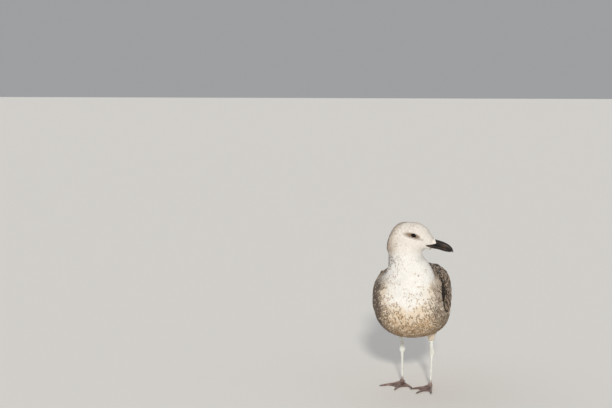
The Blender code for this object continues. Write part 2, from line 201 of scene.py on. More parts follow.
class Nodes:
    """A short hand for building one material's nodes."""

    def __init__(self, name: str) -> None:
        """Starts a material with its shader and output.

        Args:
            name: The material's name.
        """
        self.material = bpy.data.materials.new(name)
        self.material.use_nodes = True
        self.tree = self.material.node_tree
        self.shader = self.tree.nodes["Principled BSDF"]

    def add(self, kind: str, inputs: dict | None = None, **settings: object) -> bpy.types.Node:
        """Adds a node.

        Args:
            kind: The node's type, without its ShaderNode prefix.
            inputs: What each input gets, a value or another node's output.
            **settings: Properties of the node.

        Returns:
            The node.
        """
        node = self.tree.nodes.new("ShaderNode" + kind)
        for key, value in settings.items():
            setattr(node, key, value)
        for key, value in (inputs or {}).items():
            self.join(value, node.inputs[key])
        return node

    def join(self, value: object, socket: Socket) -> None:
        """Links an output to a socket, or sets the socket's value."""
        if isinstance(value, Socket):
            self.tree.links.new(value, socket)
        else:
            socket.default_value = (*value, 1) if socket.type == "RGBA" else value

    def math(self, operation: str, *values: object, clamp: bool = False) -> Socket:
        """A maths node on one to three values, and its result."""
        inputs = dict(enumerate(values))
        return self.add("Math", inputs, operation=operation, use_clamp=clamp).outputs[0]

    def step(self, value: object, low: float, high: float) -> Socket:
        """A smooth step of a value from 0 at low to 1 at high."""
        inputs = {"Value": value, "From Min": low, "From Max": high}
        node = self.add("MapRange", inputs, interpolation_type="SMOOTHSTEP")
        return node.outputs["Result"]

    def mix(self, share: object, first: object, second: object) -> Socket:
        """A mix of two colours."""
        return self.add("Mix", {0: share, 6: first, 7: second}, data_type="RGBA").outputs[2]

    def toned(self, colour: object, factor: object) -> Socket:
        """A colour times a factor."""
        return self.add("VectorMath", {0: colour, "Scale": factor}, operation="SCALE").outputs[0]

    def noise(self, where: object, scale: float, detail: float = 3.0) -> Socket:
        """Noise between 0 and 1."""
        inputs = {"Vector": where, "Scale": scale, "Detail": detail}
        return self.add("TexNoise", inputs).outputs[0]

    def streaks(self, stretch: Place, scale: float, detail: float) -> Socket:
        """Noise drawn out along the axes whose stretch is below 1."""
        where = self.add("Mapping", {"Vector": self.place(), "Scale": stretch})
        return self.noise(where.outputs[0], scale, detail)

    def place(self) -> Socket:
        """Object coordinates."""
        return self.add("TexCoord").outputs["Object"]

    def attribute(self, name: str) -> bpy.types.Node:
        """A mesh attribute."""
        return self.add("Attribute", attribute_name=name)

    def vane(self, spread: float, scale: float, detail: float) -> tuple[Socket, ...]:
        """Where a point is on its feather.

        Args:
            spread: How far apart the feathers' own noises are read.
            scale: The noise's scale.
            detail: The noise's detail.

        Returns:
            The share across from the quill, the share along, and the feather's own noise.
        """
        parts = self.add("SeparateXYZ", {0: self.add("UVMap", uv_map="Vane").outputs[0]}).outputs
        across = self.math("ABSOLUTE", self.math("MULTIPLY_ADD", parts[0], 2.0, -1.0))
        own = self.math("MULTIPLY", self.attribute("style").outputs["Alpha"], spread)
        seed = self.add("CombineXYZ", {0: parts[0], 1: parts[1], 2: own})
        return across, parts[1], self.noise(seed.outputs[0], scale, detail)

    def bump(self, height: object, distance: float, strength: float = 1.0) -> None:
        """Gives the shader a bump from a height."""
        inputs = {"Height": height, "Distance": distance, "Strength": strength}
        self.join(self.add("Bump", inputs).outputs[0], self.shader.inputs["Normal"])

    def finish(self, colour: object, roughness: object, **values: float) -> Look:
        """Sets the shader's colour, roughness and plain values.

        Args:
            colour: The base colour, a tuple or an output.
            roughness: The roughness, a number or an output.
            **values: Other inputs by name, with _ for a space.

        Returns:
            The finished material.
        """
        self.join(colour, self.shader.inputs["Base Color"])
        self.join(roughness, self.shader.inputs["Roughness"])
        for key, value in values.items():
            self.join(value, self.shader.inputs[key.replace("_", " ")])
        return self.material


@dataclass(frozen=True)
class FeatherFinish:
    """Feather vanes, whose colours and pattern come from each feather's own attributes."""

    name: str = "feather vanes"
    roughness: float = 0.75
    barbs: float = 150.0
    relief: float = 0.00006

    def material(self) -> Look:
        """The material, which reads the Vane map and the ground, mark and style attributes."""
        n = Nodes(self.name)
        across, along, ripple = n.vane(37.0, 4.2, 2.0)
        marks = n.attribute("mark")
        ground, mark, length = n.attribute("ground").outputs[0], marks.outputs[0], marks.outputs["Alpha"]
        channels = n.add("SeparateColor", {0: n.attribute("style").outputs[0]})
        spot, centre, fringe = channels.outputs[0], channels.outputs[1], channels.outputs[2]
        wobble = n.math("MULTIPLY_ADD", ripple, 0.5, -0.25)
        up = n.math("DIVIDE", n.math("SUBTRACT", along, 0.84), 0.25)
        out = n.math("DIVIDE", across, 1.05)
        far = n.math("SQRT", n.math("ADD", n.math("MULTIPLY", up, up), n.math("MULTIPLY", out, out)))
        spotted = n.math("SUBTRACT", 1.0, n.step(n.math("ADD", far, wobble), 0.55, 1.0))
        tip = n.math("POWER", along, 1.6)
        edge = n.math("ADD", n.math("MAXIMUM", across, tip), n.math("MULTIPLY", wobble, 0.6))
        inside = n.math("SUBTRACT", n.math("ADD", edge, fringe), 1.0)
        centred = n.math("SUBTRACT", 1.0, n.step(inside, -0.09, 0.1))
        marked = n.math(
            "MAXIMUM", n.math("MULTIPLY", spotted, spot), n.math("MULTIPLY", centred, centre), clamp=True
        )
        colour = n.mix(marked, ground, mark)
        grain = n.noise(n.place(), 260.0, 4.0)
        shade = n.math("MULTIPLY_ADD", grain, 0.3, 0.85)
        barb = n.math("MULTIPLY_ADD", across, -0.22, along)
        barb = n.math("MULTIPLY", n.math("MULTIPLY", barb, length), self.barbs)
        fine = n.math("SINE", n.math("MULTIPLY", barb, 2 * pi))
        shade = n.math("ADD", shade, n.math("MULTIPLY", fine, 0.025))
        quill = n.math("MULTIPLY", n.step(across, 0.09, 0.03), -0.07)
        shade = n.math("ADD", shade, quill)
        n.bump(n.math("MULTIPLY_ADD", fine, 0.5, grain), self.relief, 0.5)
        return n.finish(n.toned(colour, shade), self.roughness, Specular_IOR_Level=0.22)


@dataclass(frozen=True)
class TailFinish:
    """Whitish tail feathers with dark bars and a broad blackish band near the tip."""

    name: str = "tail vanes"

    def material(self) -> Look:
        """The material, which reads the Vane map and each feather's own colours."""
        n = Nodes(self.name)
        across, along, ripple = n.vane(53.0, 5.0, 3.0)
        place = n.math("ADD", along, n.math("MULTIPLY_ADD", ripple, 0.16, -0.08))
        band = n.math("MULTIPLY", n.step(place, 0.60, 0.68), n.step(along, 0.985, 0.965))
        bars = n.step(n.math("SINE", n.math("MULTIPLY", place, 62.0)), 0.25, 0.8)
        barred = n.math("MULTIPLY", n.step(place, 0.34, 0.62), n.step(across, 0.05, 0.5))
        bars = n.math("MULTIPLY", bars, barred)
        dark = n.math("MAXIMUM", band, n.math("MULTIPLY", bars, 0.75))
        colour = n.mix(dark, n.attribute("ground").outputs[0], n.attribute("mark").outputs[0])
        barb = n.math("MULTIPLY_ADD", across, 9.0, n.math("MULTIPLY", along, 70.0))
        fine = n.math("SINE", n.math("MULTIPLY", barb, 2 * pi))
        n.bump(fine, 0.0001, 0.5)
        return n.finish(colour, 0.66, Specular_IOR_Level=0.25)


@dataclass(frozen=True)
class SkinFinish:
    """The skin and down under the feathers, in the coat's own markings."""

    name: str = "down and skin"

    def material(self) -> Look:
        """The material, which reads the coat attribute."""
        n = Nodes(self.name)
        down = n.noise(n.place(), 420.0, 5.0)
        colour = n.toned(n.attribute("coat").outputs[0], n.math("MULTIPLY_ADD", down, 0.4, 0.7))
        n.bump(down, 0.0006, 0.7)
        return n.finish(colour, 0.85, Specular_IOR_Level=0.2)


@dataclass(frozen=True)
class WingCoreFinish:
    """The hidden inner layers of a folded wing."""

    name: str = "inner wing"
    colour: Colour = (0.026, 0.021, 0.018)
    lightest: float = 2.1

    def material(self) -> Look:
        """Dark brown, streaked along the feathers."""
        n = Nodes(self.name)
        streak = n.streaks((1, 0.12, 1), 520.0, 4.0)
        colour = n.mix(streak, self.colour, tuple(c * self.lightest for c in self.colour))
        n.bump(streak, 0.0005, 0.6)
        return n.finish(colour, 0.7, Specular_IOR_Level=0.3)


@dataclass(frozen=True)
class BillFinish:
    """Blackish horn, browner at its base and pale at the very tip."""

    name: str = "bill horn"
    horn: Colour = (0.010, 0.0085, 0.008)
    worn: Colour = (0.07, 0.043, 0.029)
    base: Colour = (0.20, 0.105, 0.07)
    tip: Colour = (0.26, 0.22, 0.19)
    nostril: Colour = (0.004, 0.004, 0.004)

    def material(self) -> Look:
        """The material, which reads the bill's own along attribute."""
        n = Nodes(self.name)
        along = n.attribute("along")
        parts = n.add("SeparateColor", {0: along.outputs["Color"]})
        forward, nostril_shade, low = parts.outputs[0], parts.outputs[1], along.outputs["Alpha"]
        patches = n.noise(n.place(), 130.0, 5.0)
        fine = n.noise(n.place(), 900.0, 3.0)
        streak = n.streaks((0.25, 1, 1), 700.0, 3.0)
        worn = n.step(n.math("ADD", patches, n.math("MULTIPLY", streak, 0.3)), 0.58, 0.86)
        middle = n.math("MULTIPLY", n.step(forward, 0.42, 0.58), n.step(forward, 0.80, 0.66))
        worn = n.math("MULTIPLY", worn, n.math("MULTIPLY_ADD", middle, 0.75, 0.12))
        # Painted shade: the nostril's opening is mixed to near black.
        colour = n.mix(nostril_shade, n.mix(worn, self.horn, self.worn), self.nostril)
        root = n.step(n.math("ADD", forward, n.math("MULTIPLY", patches, 0.12)), 0.40, 0.10)
        root = n.math("MULTIPLY", root, n.math("MULTIPLY_ADD", low, 0.7, 0.06))
        tip = n.step(n.math("ADD", forward, n.math("MULTIPLY", fine, 0.03)), 0.95, 1.02)
        colour = n.mix(tip, n.mix(root, colour, self.base), self.tip)
        n.bump(n.math("ADD", n.math("MULTIPLY", streak, 0.6), n.math("MULTIPLY", fine, 0.25)), 0.00025, 0.7)
        rough = n.math("MULTIPLY_ADD", patches, 0.25, 0.30)
        return n.finish(colour, rough, Specular_IOR_Level=0.3)


@dataclass(frozen=True)
class EyeFinish:
    """A dark brown iris round a black pupil, under a wet cornea."""

    name: str = "wet eye"
    iris: Colour = (0.005, 0.0025, 0.0015)
    fibre: Colour = (0.018, 0.009, 0.0045)
    pupil: Colour = (0.002, 0.002, 0.002)

    def material(self) -> Look:
        """The material, which reads the gaze attribute: 1 at the pupil's middle."""
        n = Nodes(self.name)
        gaze = n.attribute("gaze").outputs["Fac"]
        iris = n.mix(n.noise(n.place(), 1500.0, 3.0), self.iris, self.fibre)
        colour = n.mix(n.step(gaze, 0.925, 0.945), iris, self.pupil)
        return n.finish(colour, 0.06, Coat_Weight=0.4, Coat_Roughness=0.02, IOR=1.36)


@dataclass(frozen=True)
class BareSkinFinish:
    """Bare skin of the lids."""

    name: str = "eyelid"
    colour: Colour = (0.014, 0.011, 0.010)
    other: Colour = (0.045, 0.033, 0.027)

    def material(self) -> Look:
        """Finely wrinkled skin of two tones."""
        n = Nodes(self.name)
        cells = n.noise(n.place(), 1600.0, 4.0)
        n.bump(cells, 0.0002, 0.8)
        return n.finish(n.mix(cells, self.colour, self.other), 0.5, Specular_IOR_Level=0.4)


@dataclass(frozen=True)
class LegFinish:
    """Pale flesh-grey legs with scutes, and mauve-brown feet and webs."""

    name: str = "leg scales"
    leg: Colour = (0.87, 0.90, 0.86)
    leg_dark: Colour = (0.76, 0.76, 0.71)
    foot: Colour = (0.33, 0.235, 0.215)
    foot_dark: Colour = (0.16, 0.105, 0.088)

    def material(self) -> Look:
        """The material, which reads the foot attribute: 0 on the leg and 1 on toes and web."""
        n = Nodes(self.name)
        parts = n.add("SeparateColor", {0: n.attribute("foot").outputs["Color"]})
        on_foot, scute, web = parts.outputs[0], parts.outputs[1], parts.outputs[2]
        patches = n.noise(n.place(), 90.0, 4.0)
        scales = {"Vector": n.place(), "Scale": 900.0}
        cells = n.add("TexVoronoi", scales, feature="DISTANCE_TO_EDGE").outputs[0]
        grain = n.noise(n.place(), 1400.0, 3.0)
        leg = n.mix(n.step(patches, 0.42, 0.72), self.leg, self.leg_dark)
        foot = n.mix(n.step(patches, 0.34, 0.66), self.foot, self.foot_dark)
        colour = n.mix(on_foot, leg, foot)
        colour = n.mix(n.math("MULTIPLY", web, 0.45), colour, self.foot_dark)
        lines = n.step(cells, 0.09, 0.0)
        # Painted shade: the scute channel darkens the creases between scutes.
        dark = n.math("ADD", n.math("MULTIPLY", lines, 0.18), n.math("MULTIPLY", scute, 0.2), clamp=True)
        colour = n.mix(dark, colour, self.foot_dark)
        height = n.math("SUBTRACT", n.math("MULTIPLY", grain, 0.3), n.math("MULTIPLY", lines, 0.7))
        n.bump(height, 0.00018, 0.8)
        return n.finish(colour, 0.52, Specular_IOR_Level=0.4)


@dataclass(frozen=True)
class ClawFinish:
    """Dark horn, streaked with paler worn horn."""

    name: str = "claw horn"
    dark: Colour = (0.022, 0.018, 0.017)
    worn: Colour = (0.075, 0.058, 0.05)

    def material(self) -> Look:
        """Streaked dark horn."""
        n = Nodes(self.name)
        streak = n.noise(n.place(), 900.0, 4.0)
        n.bump(streak, 0.0001, 0.6)
        return n.finish(n.mix(streak, self.dark, self.worn), 0.38, Specular_IOR_Level=0.5)


@dataclass(frozen=True)
class FloorFinish:
    """The studio's plain pale floor."""

    name: str = "studio floor"
    colour: Colour = (0.88, 0.86, 0.825)

    def material(self) -> Look:
        """A barely uneven matt floor."""
        n = Nodes(self.name)
        speckle = n.math("MULTIPLY", n.noise(n.place(), 35.0, 2.0), 0.06)
        tone = n.mix(speckle, self.colour, tuple(c * 0.9 for c in self.colour))
        return n.finish(tone, 0.9, Specular_IOR_Level=0.1)


# Mesh helpers


def placed(name: str, mesh: Mesh, look: Look, slot: str, *stands_for: str) -> bpy.types.Object:
    """Makes a finished piece of a mesh, riding on the bird's body.

    Args:
        name: The piece's name.
        mesh: Its mesh, already in place.
        look: Its material.
        slot: The record's material slot that it belongs to; not used.
        *stands_for: The nodes that it replaces.

    Returns:
        The piece.
    """
    mesh.name = name
    piece = bpy.data.objects.new(name, mesh)
    bpy.context.scene.collection.objects.link(piece)
    mesh.materials.clear()
    mesh.materials.append(look)
    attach(piece, BODY)
    if stands_for:
        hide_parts(*stands_for)
    log.info("%s: %d faces", name, len(mesh.polygons))
    return piece


def merged(nodes: Iterable[str], wing_end: float | None = None) -> Mesh:
    """One mesh of merged copies of some nodes.

    Args:
        nodes: The nodes' names.
        wing_end: Where given, the wings are cut off behind this place on Y.

    Returns:
        The mesh.
    """
    form = bmesh.new()
    for name in nodes:
        part = bmesh.new()
        part.from_mesh(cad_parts[name].data)
        bmesh.ops.remove_doubles(part, verts=part.verts, dist=1e-6)
        if wing_end is not None and name.startswith("wing"):
            whole = part.verts[:] + part.edges[:] + part.faces[:]
            plane = {"plane_co": (0, wing_end, 0), "plane_no": (0, 1, 0)}
            bmesh.ops.bisect_plane(part, geom=whole, clear_outer=True, **plane)
            rim = [edge for edge in part.edges if edge.is_boundary]
            if rim:
                bmesh.ops.contextual_create(part, geom=rim)
        copy = bpy.data.meshes.new(name + "_copy")
        part.to_mesh(copy)
        part.free()
        form.from_mesh(copy)
        bpy.data.meshes.remove(copy)
    mesh = bpy.data.meshes.new("merged")
    form.to_mesh(mesh)
    form.free()
    return mesh


def run_together(mesh: Mesh, voxel: float, steps: int) -> Mesh:
    """A mesh remade as one closed skin and eased.

    Args:
        mesh: The mesh, of one or more closed forms.
        voxel: The size of the new faces.
        steps: How many times it is eased.

    Returns:
        The new mesh, its largest piece only.
    """
    maker = bpy.data.objects.new("run_together", mesh)
    bpy.context.scene.collection.objects.link(maker)
    remesh = maker.modifiers.new("remesh", "REMESH")
    remesh.mode = "VOXEL"
    remesh.voxel_size = voxel
    ease = maker.modifiers.new("ease", "SMOOTH")
    ease.factor = 0.5
    ease.iterations = steps
    graph = bpy.context.evaluated_depsgraph_get()
    made = bpy.data.meshes.new_from_object(maker.evaluated_get(graph), depsgraph=graph)
    bpy.data.objects.remove(maker)
    form = bmesh.new()
    form.from_mesh(made)
    form.verts.ensure_lookup_table()
    unseen, islands = set(form.verts), []
    while unseen:
        stack, island = [unseen.pop()], []
        while stack:
            vertex = stack.pop()
            island.append(vertex)
            for edge in vertex.link_edges:
                other = edge.other_vert(vertex)
                if other in unseen:
                    unseen.discard(other)
                    stack.append(other)
        islands.append(island)
    islands.sort(key=len)
    for island in islands[:-1]:
        bmesh.ops.delete(form, geom=island, context="VERTS")
    form.to_mesh(made)
    form.free()
    made.shade_smooth()
    return made


def corners(mesh: Mesh, key: str = "co") -> Rows:
    """The places of a mesh's vertices, or what else the key asks for, as rows."""
    flat = np.zeros(len(mesh.vertices) * 3, np.float32)
    mesh.vertices.foreach_get(key, flat)
    return flat.reshape(-1, 3).astype(float)


def set_corners(mesh: Mesh, points: Rows) -> None:
    """Moves a mesh's vertices."""
    mesh.vertices.foreach_set("co", points.astype(np.float32).ravel())
    mesh.update()


def paint(mesh: Mesh, name: str, colours: Rows) -> None:
    """Stores a colour attribute of three or four channels on a mesh's vertices."""
    if colours.shape[1] == 3:
        colours = np.column_stack([colours, np.ones(len(colours))])
    layer = mesh.attributes.new(name, "FLOAT_COLOR", "POINT")
    layer.data.foreach_set("color", colours.astype(np.float32).ravel())


def ringed(rings: Sequence[Sequence[Vector]], closed: bool = False) -> Form:
    """Rings of points bridged into one closed form.

    Args:
        rings: The rings, of equal length.
        closed: Whether the last ring joins the first, in place of two caps.

    Returns:
        The form.
    """
    form = bmesh.new()
    loops = []
    for ring in rings:
        made = bmesh.ops.create_circle(form, segments=len(ring), radius=1.0, cap_ends=False)
        for vertex, point in zip(made["verts"], ring):
            vertex.co = point
        loops.append(list({edge for vertex in made["verts"] for edge in vertex.link_edges}))
    for lower, upper in zip(loops, loops[1:] + (loops[:1] if closed else [])):
        bmesh.ops.bridge_loops(form, edges=lower + upper)
    if not closed:
        rim = [edge for edge in form.edges if edge.is_boundary]
        bmesh.ops.holes_fill(form, edges=rim, sides=0)
    bmesh.ops.recalc_face_normals(form, faces=form.faces)
    return form


def as_mesh(form: Form) -> Mesh:
    """Turns a form into a smooth mesh and frees it."""
    mesh = bpy.data.meshes.new("form")
    form.to_mesh(mesh)
    form.free()
    mesh.shade_smooth()
    return mesh


# Feathers


@dataclass(frozen=True)
class Mould:
    """The quads of one closed blade, and where each of its corners is on the feather."""

    quads: Rows
    row: Rows
    column: Rows
    along: Rows
    across: Rows
    width: Rows
    round_off: Rows
    swell: Rows

    def vane(self) -> Rows:
        """The blade's own map: across from 0 to 1, and along."""
        return np.column_stack([(self.across + 1) / 2, self.along])


@dataclass(frozen=True)
class Blade:
    """The make of one kind of feather: its outline as shares, its thickness in millimetres."""

    rows: int
    columns: int
    widths: tuple[float, ...]
    tip_round: float = 0.28
    ragged: float = 0.03
    thick: float = 0.3
    crown: float = 0.10
    fray: float = 0.0

    def mould(self) -> Mould:
        """The closed blade, whose swell is above 0 where its underside lies below its upper side."""
        row, column = (a.ravel() for a in np.indices((self.rows + 1, self.columns + 1)))
        top = np.arange(row.size).reshape(self.rows + 1, self.columns + 1)
        inside = top[1:-1, 1:-1].ravel()
        under = top.copy()
        under[1:-1, 1:-1] = (row.size + np.arange(inside.size)).reshape(self.rows - 1, self.columns - 1)
        upper = np.stack([top[:-1, :-1], top[:-1, 1:], top[1:, 1:], top[1:, :-1]], -1)
        lower = np.stack([under[:-1, :-1], under[1:, :-1], under[1:, 1:], under[:-1, 1:]], -1)
        row, column = np.append(row, row[inside]), np.append(column, column[inside])
        t, s = row / self.rows, column / self.columns * 2 - 1
        width = np.interp(t, np.linspace(0, 1, len(self.widths)), self.widths)
        swell = (1 - s * s) * (np.arange(row.size) >= top.size)
        quads = np.vstack([upper.reshape(-1, 4), lower.reshape(-1, 4)])
        return Mould(quads, row, column, t, s, width, self.tip_round * t**3 * s * s, swell)


@dataclass
class Batch:
    """Feathers of one make, ready to be joined with others."""

    points: Rows
    quads: Rows
    vane: Rows
    ground: Rows
    mark: Rows
    style: Rows
    home: Rows
    patch: Rows


@dataclass
class Laying:
    """How many feathers lie: their midlines and frames at each row, and their sizes in metres."""

    middles: Rows
    alongs: Rows
    normals: Rows
    length: Rows
    half: Rows
    rise: Rows
    bend: Rows


def shaped(blade: Blade, lay: Laying, rng: Chance) -> tuple[Rows, Rows, Rows]:
    """The corners of many blades laid on their beds.

    Args:
        blade: The make of feather.
        lay: Where each one lies.
        rng: The source of their small differences.

    Returns:
        The corners (feathers x corners x 3), the quads of one blade and the corners' vane map.
    """
    mould, count = blade.mould(), len(lay.length)
    row, t, s = mould.row, mould.along, mould.across
    jag = rng.normal(0, blade.ragged, (count, blade.columns + 1))
    jag[:, 1::2] -= blade.fray
    shift = jag[:, mould.column] * (t**4)[None] - mould.round_off
    splay = 1 + rng.normal(0, 0.05, (count, 1))
    thick = (blade.thick * MM) * (0.35 + 0.65 * (1 - s * s)) * mould.swell
    middle, along, normal = lay.middles[:, row], lay.alongs[:, row], lay.normals[:, row]
    side = np.cross(along, normal)
    lift = lay.rise[:, row] + lay.bend[:, None] * (t**2)[None]
    lift = lift - blade.crown * lay.half[:, None] * (s * s)[None] - thick[None]
    points = (
        middle
        + along * (shift * lay.length[:, None])[..., None]
        + side * (lay.half[:, None] * splay * (s * mould.width)[None])[..., None]
        + normal * lift[..., None]
    )
    return points, mould.quads, mould.vane()


def joined(batches: Sequence[Batch]) -> Mesh:
    """One mesh of many feathers, with their maps and attributes.

    Args:
        batches: The feathers.

    Returns:
        The mesh.
    """
    corner_rows, faces, loops_vane, loops_home = [], [], [], []
    colours: dict[str, list[Rows]] = {"ground": [], "mark": [], "style": []}
    start = 0
    for b in batches:
        count, per = b.points.shape[:2]
        corner_rows.append(b.points.reshape(-1, 3))
        faces.append((b.quads[None] + (np.arange(count) * per)[:, None, None]).reshape(-1, 4) + start)
        loops_vane.append(np.tile(b.vane[b.quads.ravel()], (count, 1)))
        homes = b.home[:, None] + (b.vane[None] - 0.5) * b.patch[:, None]
        loops_home.append(homes[:, b.quads.ravel()].reshape(-1, 2))
        for key, value in (("ground", b.ground), ("mark", b.mark), ("style", b.style)):
            colours[key].append(np.repeat(value, per, axis=0))
        start += count * per
    co, quads = np.vstack(corner_rows), np.vstack(faces)
    mesh = bpy.data.meshes.new("feathers")
    mesh.vertices.add(len(co))
    mesh.vertices.foreach_set("co", co.astype(np.float32).ravel())
    mesh.loops.add(quads.size)
    mesh.loops.foreach_set("vertex_index", quads.astype(np.int32).ravel())
    mesh.polygons.add(len(quads))
    mesh.polygons.foreach_set("loop_start", np.arange(0, quads.size, 4, dtype=np.int32))
    mesh.update(calc_edges=True)
    for label, rows in (("Vane", loops_vane), ("OFBake", loops_home)):
        layer = mesh.uv_layers.new(name=label)
        layer.data.foreach_set("uv", np.vstack(rows).astype(np.float32).ravel())
    for key, rows in colours.items():
        paint(mesh, key, np.vstack(rows))
    mesh.shade_smooth()
    mesh.set_sharp_from_angle(angle=radians(65))
    mesh.validate()
    return mesh


TINY_BLADE = Blade(
    3, 2, (0.5, 1.0, 0.85, 0.22), tip_round=0.05, ragged=0.09, thick=0.07, crown=0.06, fray=-0.10
)
SLIM_BLADE = Blade(
    4, 2, (0.4, 0.85, 1.0, 0.85, 0.25), tip_round=0.05, ragged=0.08, thick=0.14, fray=-0.08
)
BODY_BLADE = Blade(
    5, 4, (0.3, 0.72, 0.98, 1.0, 0.84, 0.36), tip_round=0.2, ragged=0.04, thick=0.2, crown=0.07, fray=0.04
)
WIDE_BLADE = Blade(
    7, 6, (0.3, 0.66, 0.9, 1.0, 1.0, 0.94, 0.78, 0.46),
    tip_round=0.16, ragged=0.015, thick=0.35, crown=0.08, fray=0.006,
)
LONG_BLADE = Blade(
    14, 6, (0.35, 0.7, 0.9, 1.0, 1.0, 0.96, 0.86, 0.66, 0.34),
    tip_round=0.07, ragged=0.004, thick=0.75, crown=0.06,
)


# The bird's form: skin, bed and wing surface


@dataclass(frozen=True)
class WingForm:
    """The surface of a folded wing: y, half width, top z, bottom z, upper and lower edge in degrees."""

    stations: Stations = (
        (-91, 74.5, 271, 129, 26, 5),
        (-84, 77, 273, 126, 38, -6),
        (-70, 79.5, 275, 122.5, 53, -15),
        (-44, 81.5, 277.5, 119, 67, -22),
        (-4, 80, 278, 117, 72, -25),
        (36, 73, 273, 120, 77, -25),
        (76, 63.5, 263.5, 131, 82, -22),
        (116, 51.5, 249.5, 147, 86, -18),
        (150, 38.5, 233.5, 157, 87.5, -13),
        (190, 27, 218, 160, 87.5, -9),
        (236, 16, 203, 162, 86, -7),
        (276, 10, 190, 163, 83, -6),
        (312, 6.2, 178.8, 164, 78, -5),
        (324, 4.6, 174.5, 163.5, 72, -4),
    )
    bottom_power: float = 2.25
    top_power_left: float = 2.75
    top_power_right: float = 3.0

    def row(self, y: Rows) -> list[Rows]:
        """The surface's five sizes at a place along it."""
        table = np.array(self.stations)
        return [np.interp(y, table[:, 0], table[:, i]) for i in range(1, 6)]

    def power(self, side: Side, upper: Rows) -> Rows:
        """How square the section is where it is the upper half of it, and where it isn't."""
        return np.where(upper, getattr(self, side.of("top_power")), self.bottom_power)

    def point(self, side: Side, y: Rows, share: Rows) -> Rows:
        """Points on the surface, in millimetres from between the feet.

        Args:
            side: Which wing.
            y: How far back.
            share: 0 at the upper edge to 1 at the lower; it may run past either.

        Returns:
            The points.
        """
        half, top, bottom, start, end = self.row(y)
        turn = np.radians(start + (end - start) * share)
        power = 2 / self.power(side, np.sin(turn) > 0)
        out = half * np.abs(np.cos(turn)) ** power * np.sign(np.cos(turn))
        up = (top - bottom) / 2 * np.abs(np.sin(turn)) ** power * np.sign(np.sin(turn))
        return np.stack([side.value * out, y, (top + bottom) / 2 + up], -1)

    def around(self, side: Side, y: Rows) -> Rows:
        """The length of the surface from its upper edge to its lower, in millimetres."""
        shares = np.linspace(0, 1, 17)
        flat = np.ravel(y)
        ring = self.point(side, flat[:, None] + 0 * shares, shares[None] + 0 * flat[:, None])
        return np.linalg.norm(np.diff(ring, axis=1), axis=-1).sum(1).reshape(np.shape(y))

    def surface(self, side: Side, y: Rows, down: Rows) -> tuple[Rows, Rows]:
        """Points and outward normals at (how far back, how far down from the upper edge), in mm."""
        girth = np.maximum(self.around(side, y), 1.0)
        share = down / girth
        here = self.point(side, y, share)
        back = self.point(side, y + 7, share) - self.point(side, y - 7, share)
        below = self.point(side, y, share + 3 / girth) - self.point(side, y, share - 3 / girth)
        return here, unit(np.cross(below, back)) * side.value

    def share_at(self, mm: Rows) -> Rows:
        """For points near the surface, their share from upper to lower edge."""
        half, top, bottom, start, end = self.row(mm[:, 1])
        found = np.zeros(len(mm))
        up = (mm[:, 2] - (top + bottom) / 2) / ((top - bottom) / 2)
        for side in Side:
            out = np.maximum(mm[:, 0] * side.value / half, 0)
            power = self.power(side, up > 0) / 2
            turn = np.degrees(np.arctan2(np.sign(up) * np.abs(up) ** power, out**power))
            found = np.where(mm[:, 0] * side.value > 0, (turn - start) / (end - start), found)
        return found

    def covers(self, mm: Rows) -> Rows:
        """Which points lie under the folded wings."""
        share, z = self.share_at(mm), mm[:, 2]
        front = -85 - 7 * eased(190, 204, z) * eased(256, 244, z) * (mm[:, 0] > 0)
        return (mm[:, 1] > front) & (share > 0.02) & (share < 0.915)


WING = WingForm()


@dataclass
class Bed:
    """The surface that small feathers lie on."""

    mesh: Mesh
    tree: BVHTree = field(init=False)
    smooth: Rows = field(init=False)
    areas: Rows = field(init=False)
    faces: Rows = field(init=False)
    places: Rows = field(init=False)

    def __post_init__(self) -> None:
        """Reads the mesh into arrays and a search tree."""
        self.mesh.calc_loop_triangles()
        self.places = corners(self.mesh)
        faces = np.zeros(len(self.mesh.loop_triangles) * 3, np.int32)
        self.mesh.loop_triangles.foreach_get("vertices", faces)
        self.faces = faces.reshape(-1, 3)
        self.tree = BVHTree.FromPolygons(self.places.tolist(), self.faces.tolist())
        self.smooth = unit(corners(self.mesh, "normal")[self.faces].mean(1))
        a, b, c = (self.places[self.faces[:, i]] for i in range(3))
        self.areas = np.linalg.norm(np.cross(b - a, c - a), axis=1) / 2

    def settle(self, points: Rows) -> tuple[Rows, Rows]:
        """The nearest places on the bed, and the normals there."""
        found = [self.tree.find_nearest(p) for p in points.tolist()]
        return np.array([f[0] for f in found]), self.smooth[[f[2] for f in found]]

    def middles(self) -> Rows:
        """The middles of the bed's faces, in millimetres from between the feet."""
        return ANATOMY.bird_mm(self.places[self.faces].mean(1))

    def sample(self, weights: Rows, count: int, rng: Chance) -> Rows:
        """Random places on the bed.

        Args:
            weights: How likely each face is to be picked.
            count: How many places.
            rng: The source of chance.

        Returns:
            The places.
        """
        chosen = rng.choice(len(self.faces), count, p=weights / weights.sum())
        r, q = np.sqrt(rng.random(count)), rng.random(count)
        a, b, c = (self.places[self.faces[chosen, i]] for i in range(3))
        return a * (1 - r)[:, None] + b * (r * (1 - q))[:, None] + c * (r * q)[:, None]


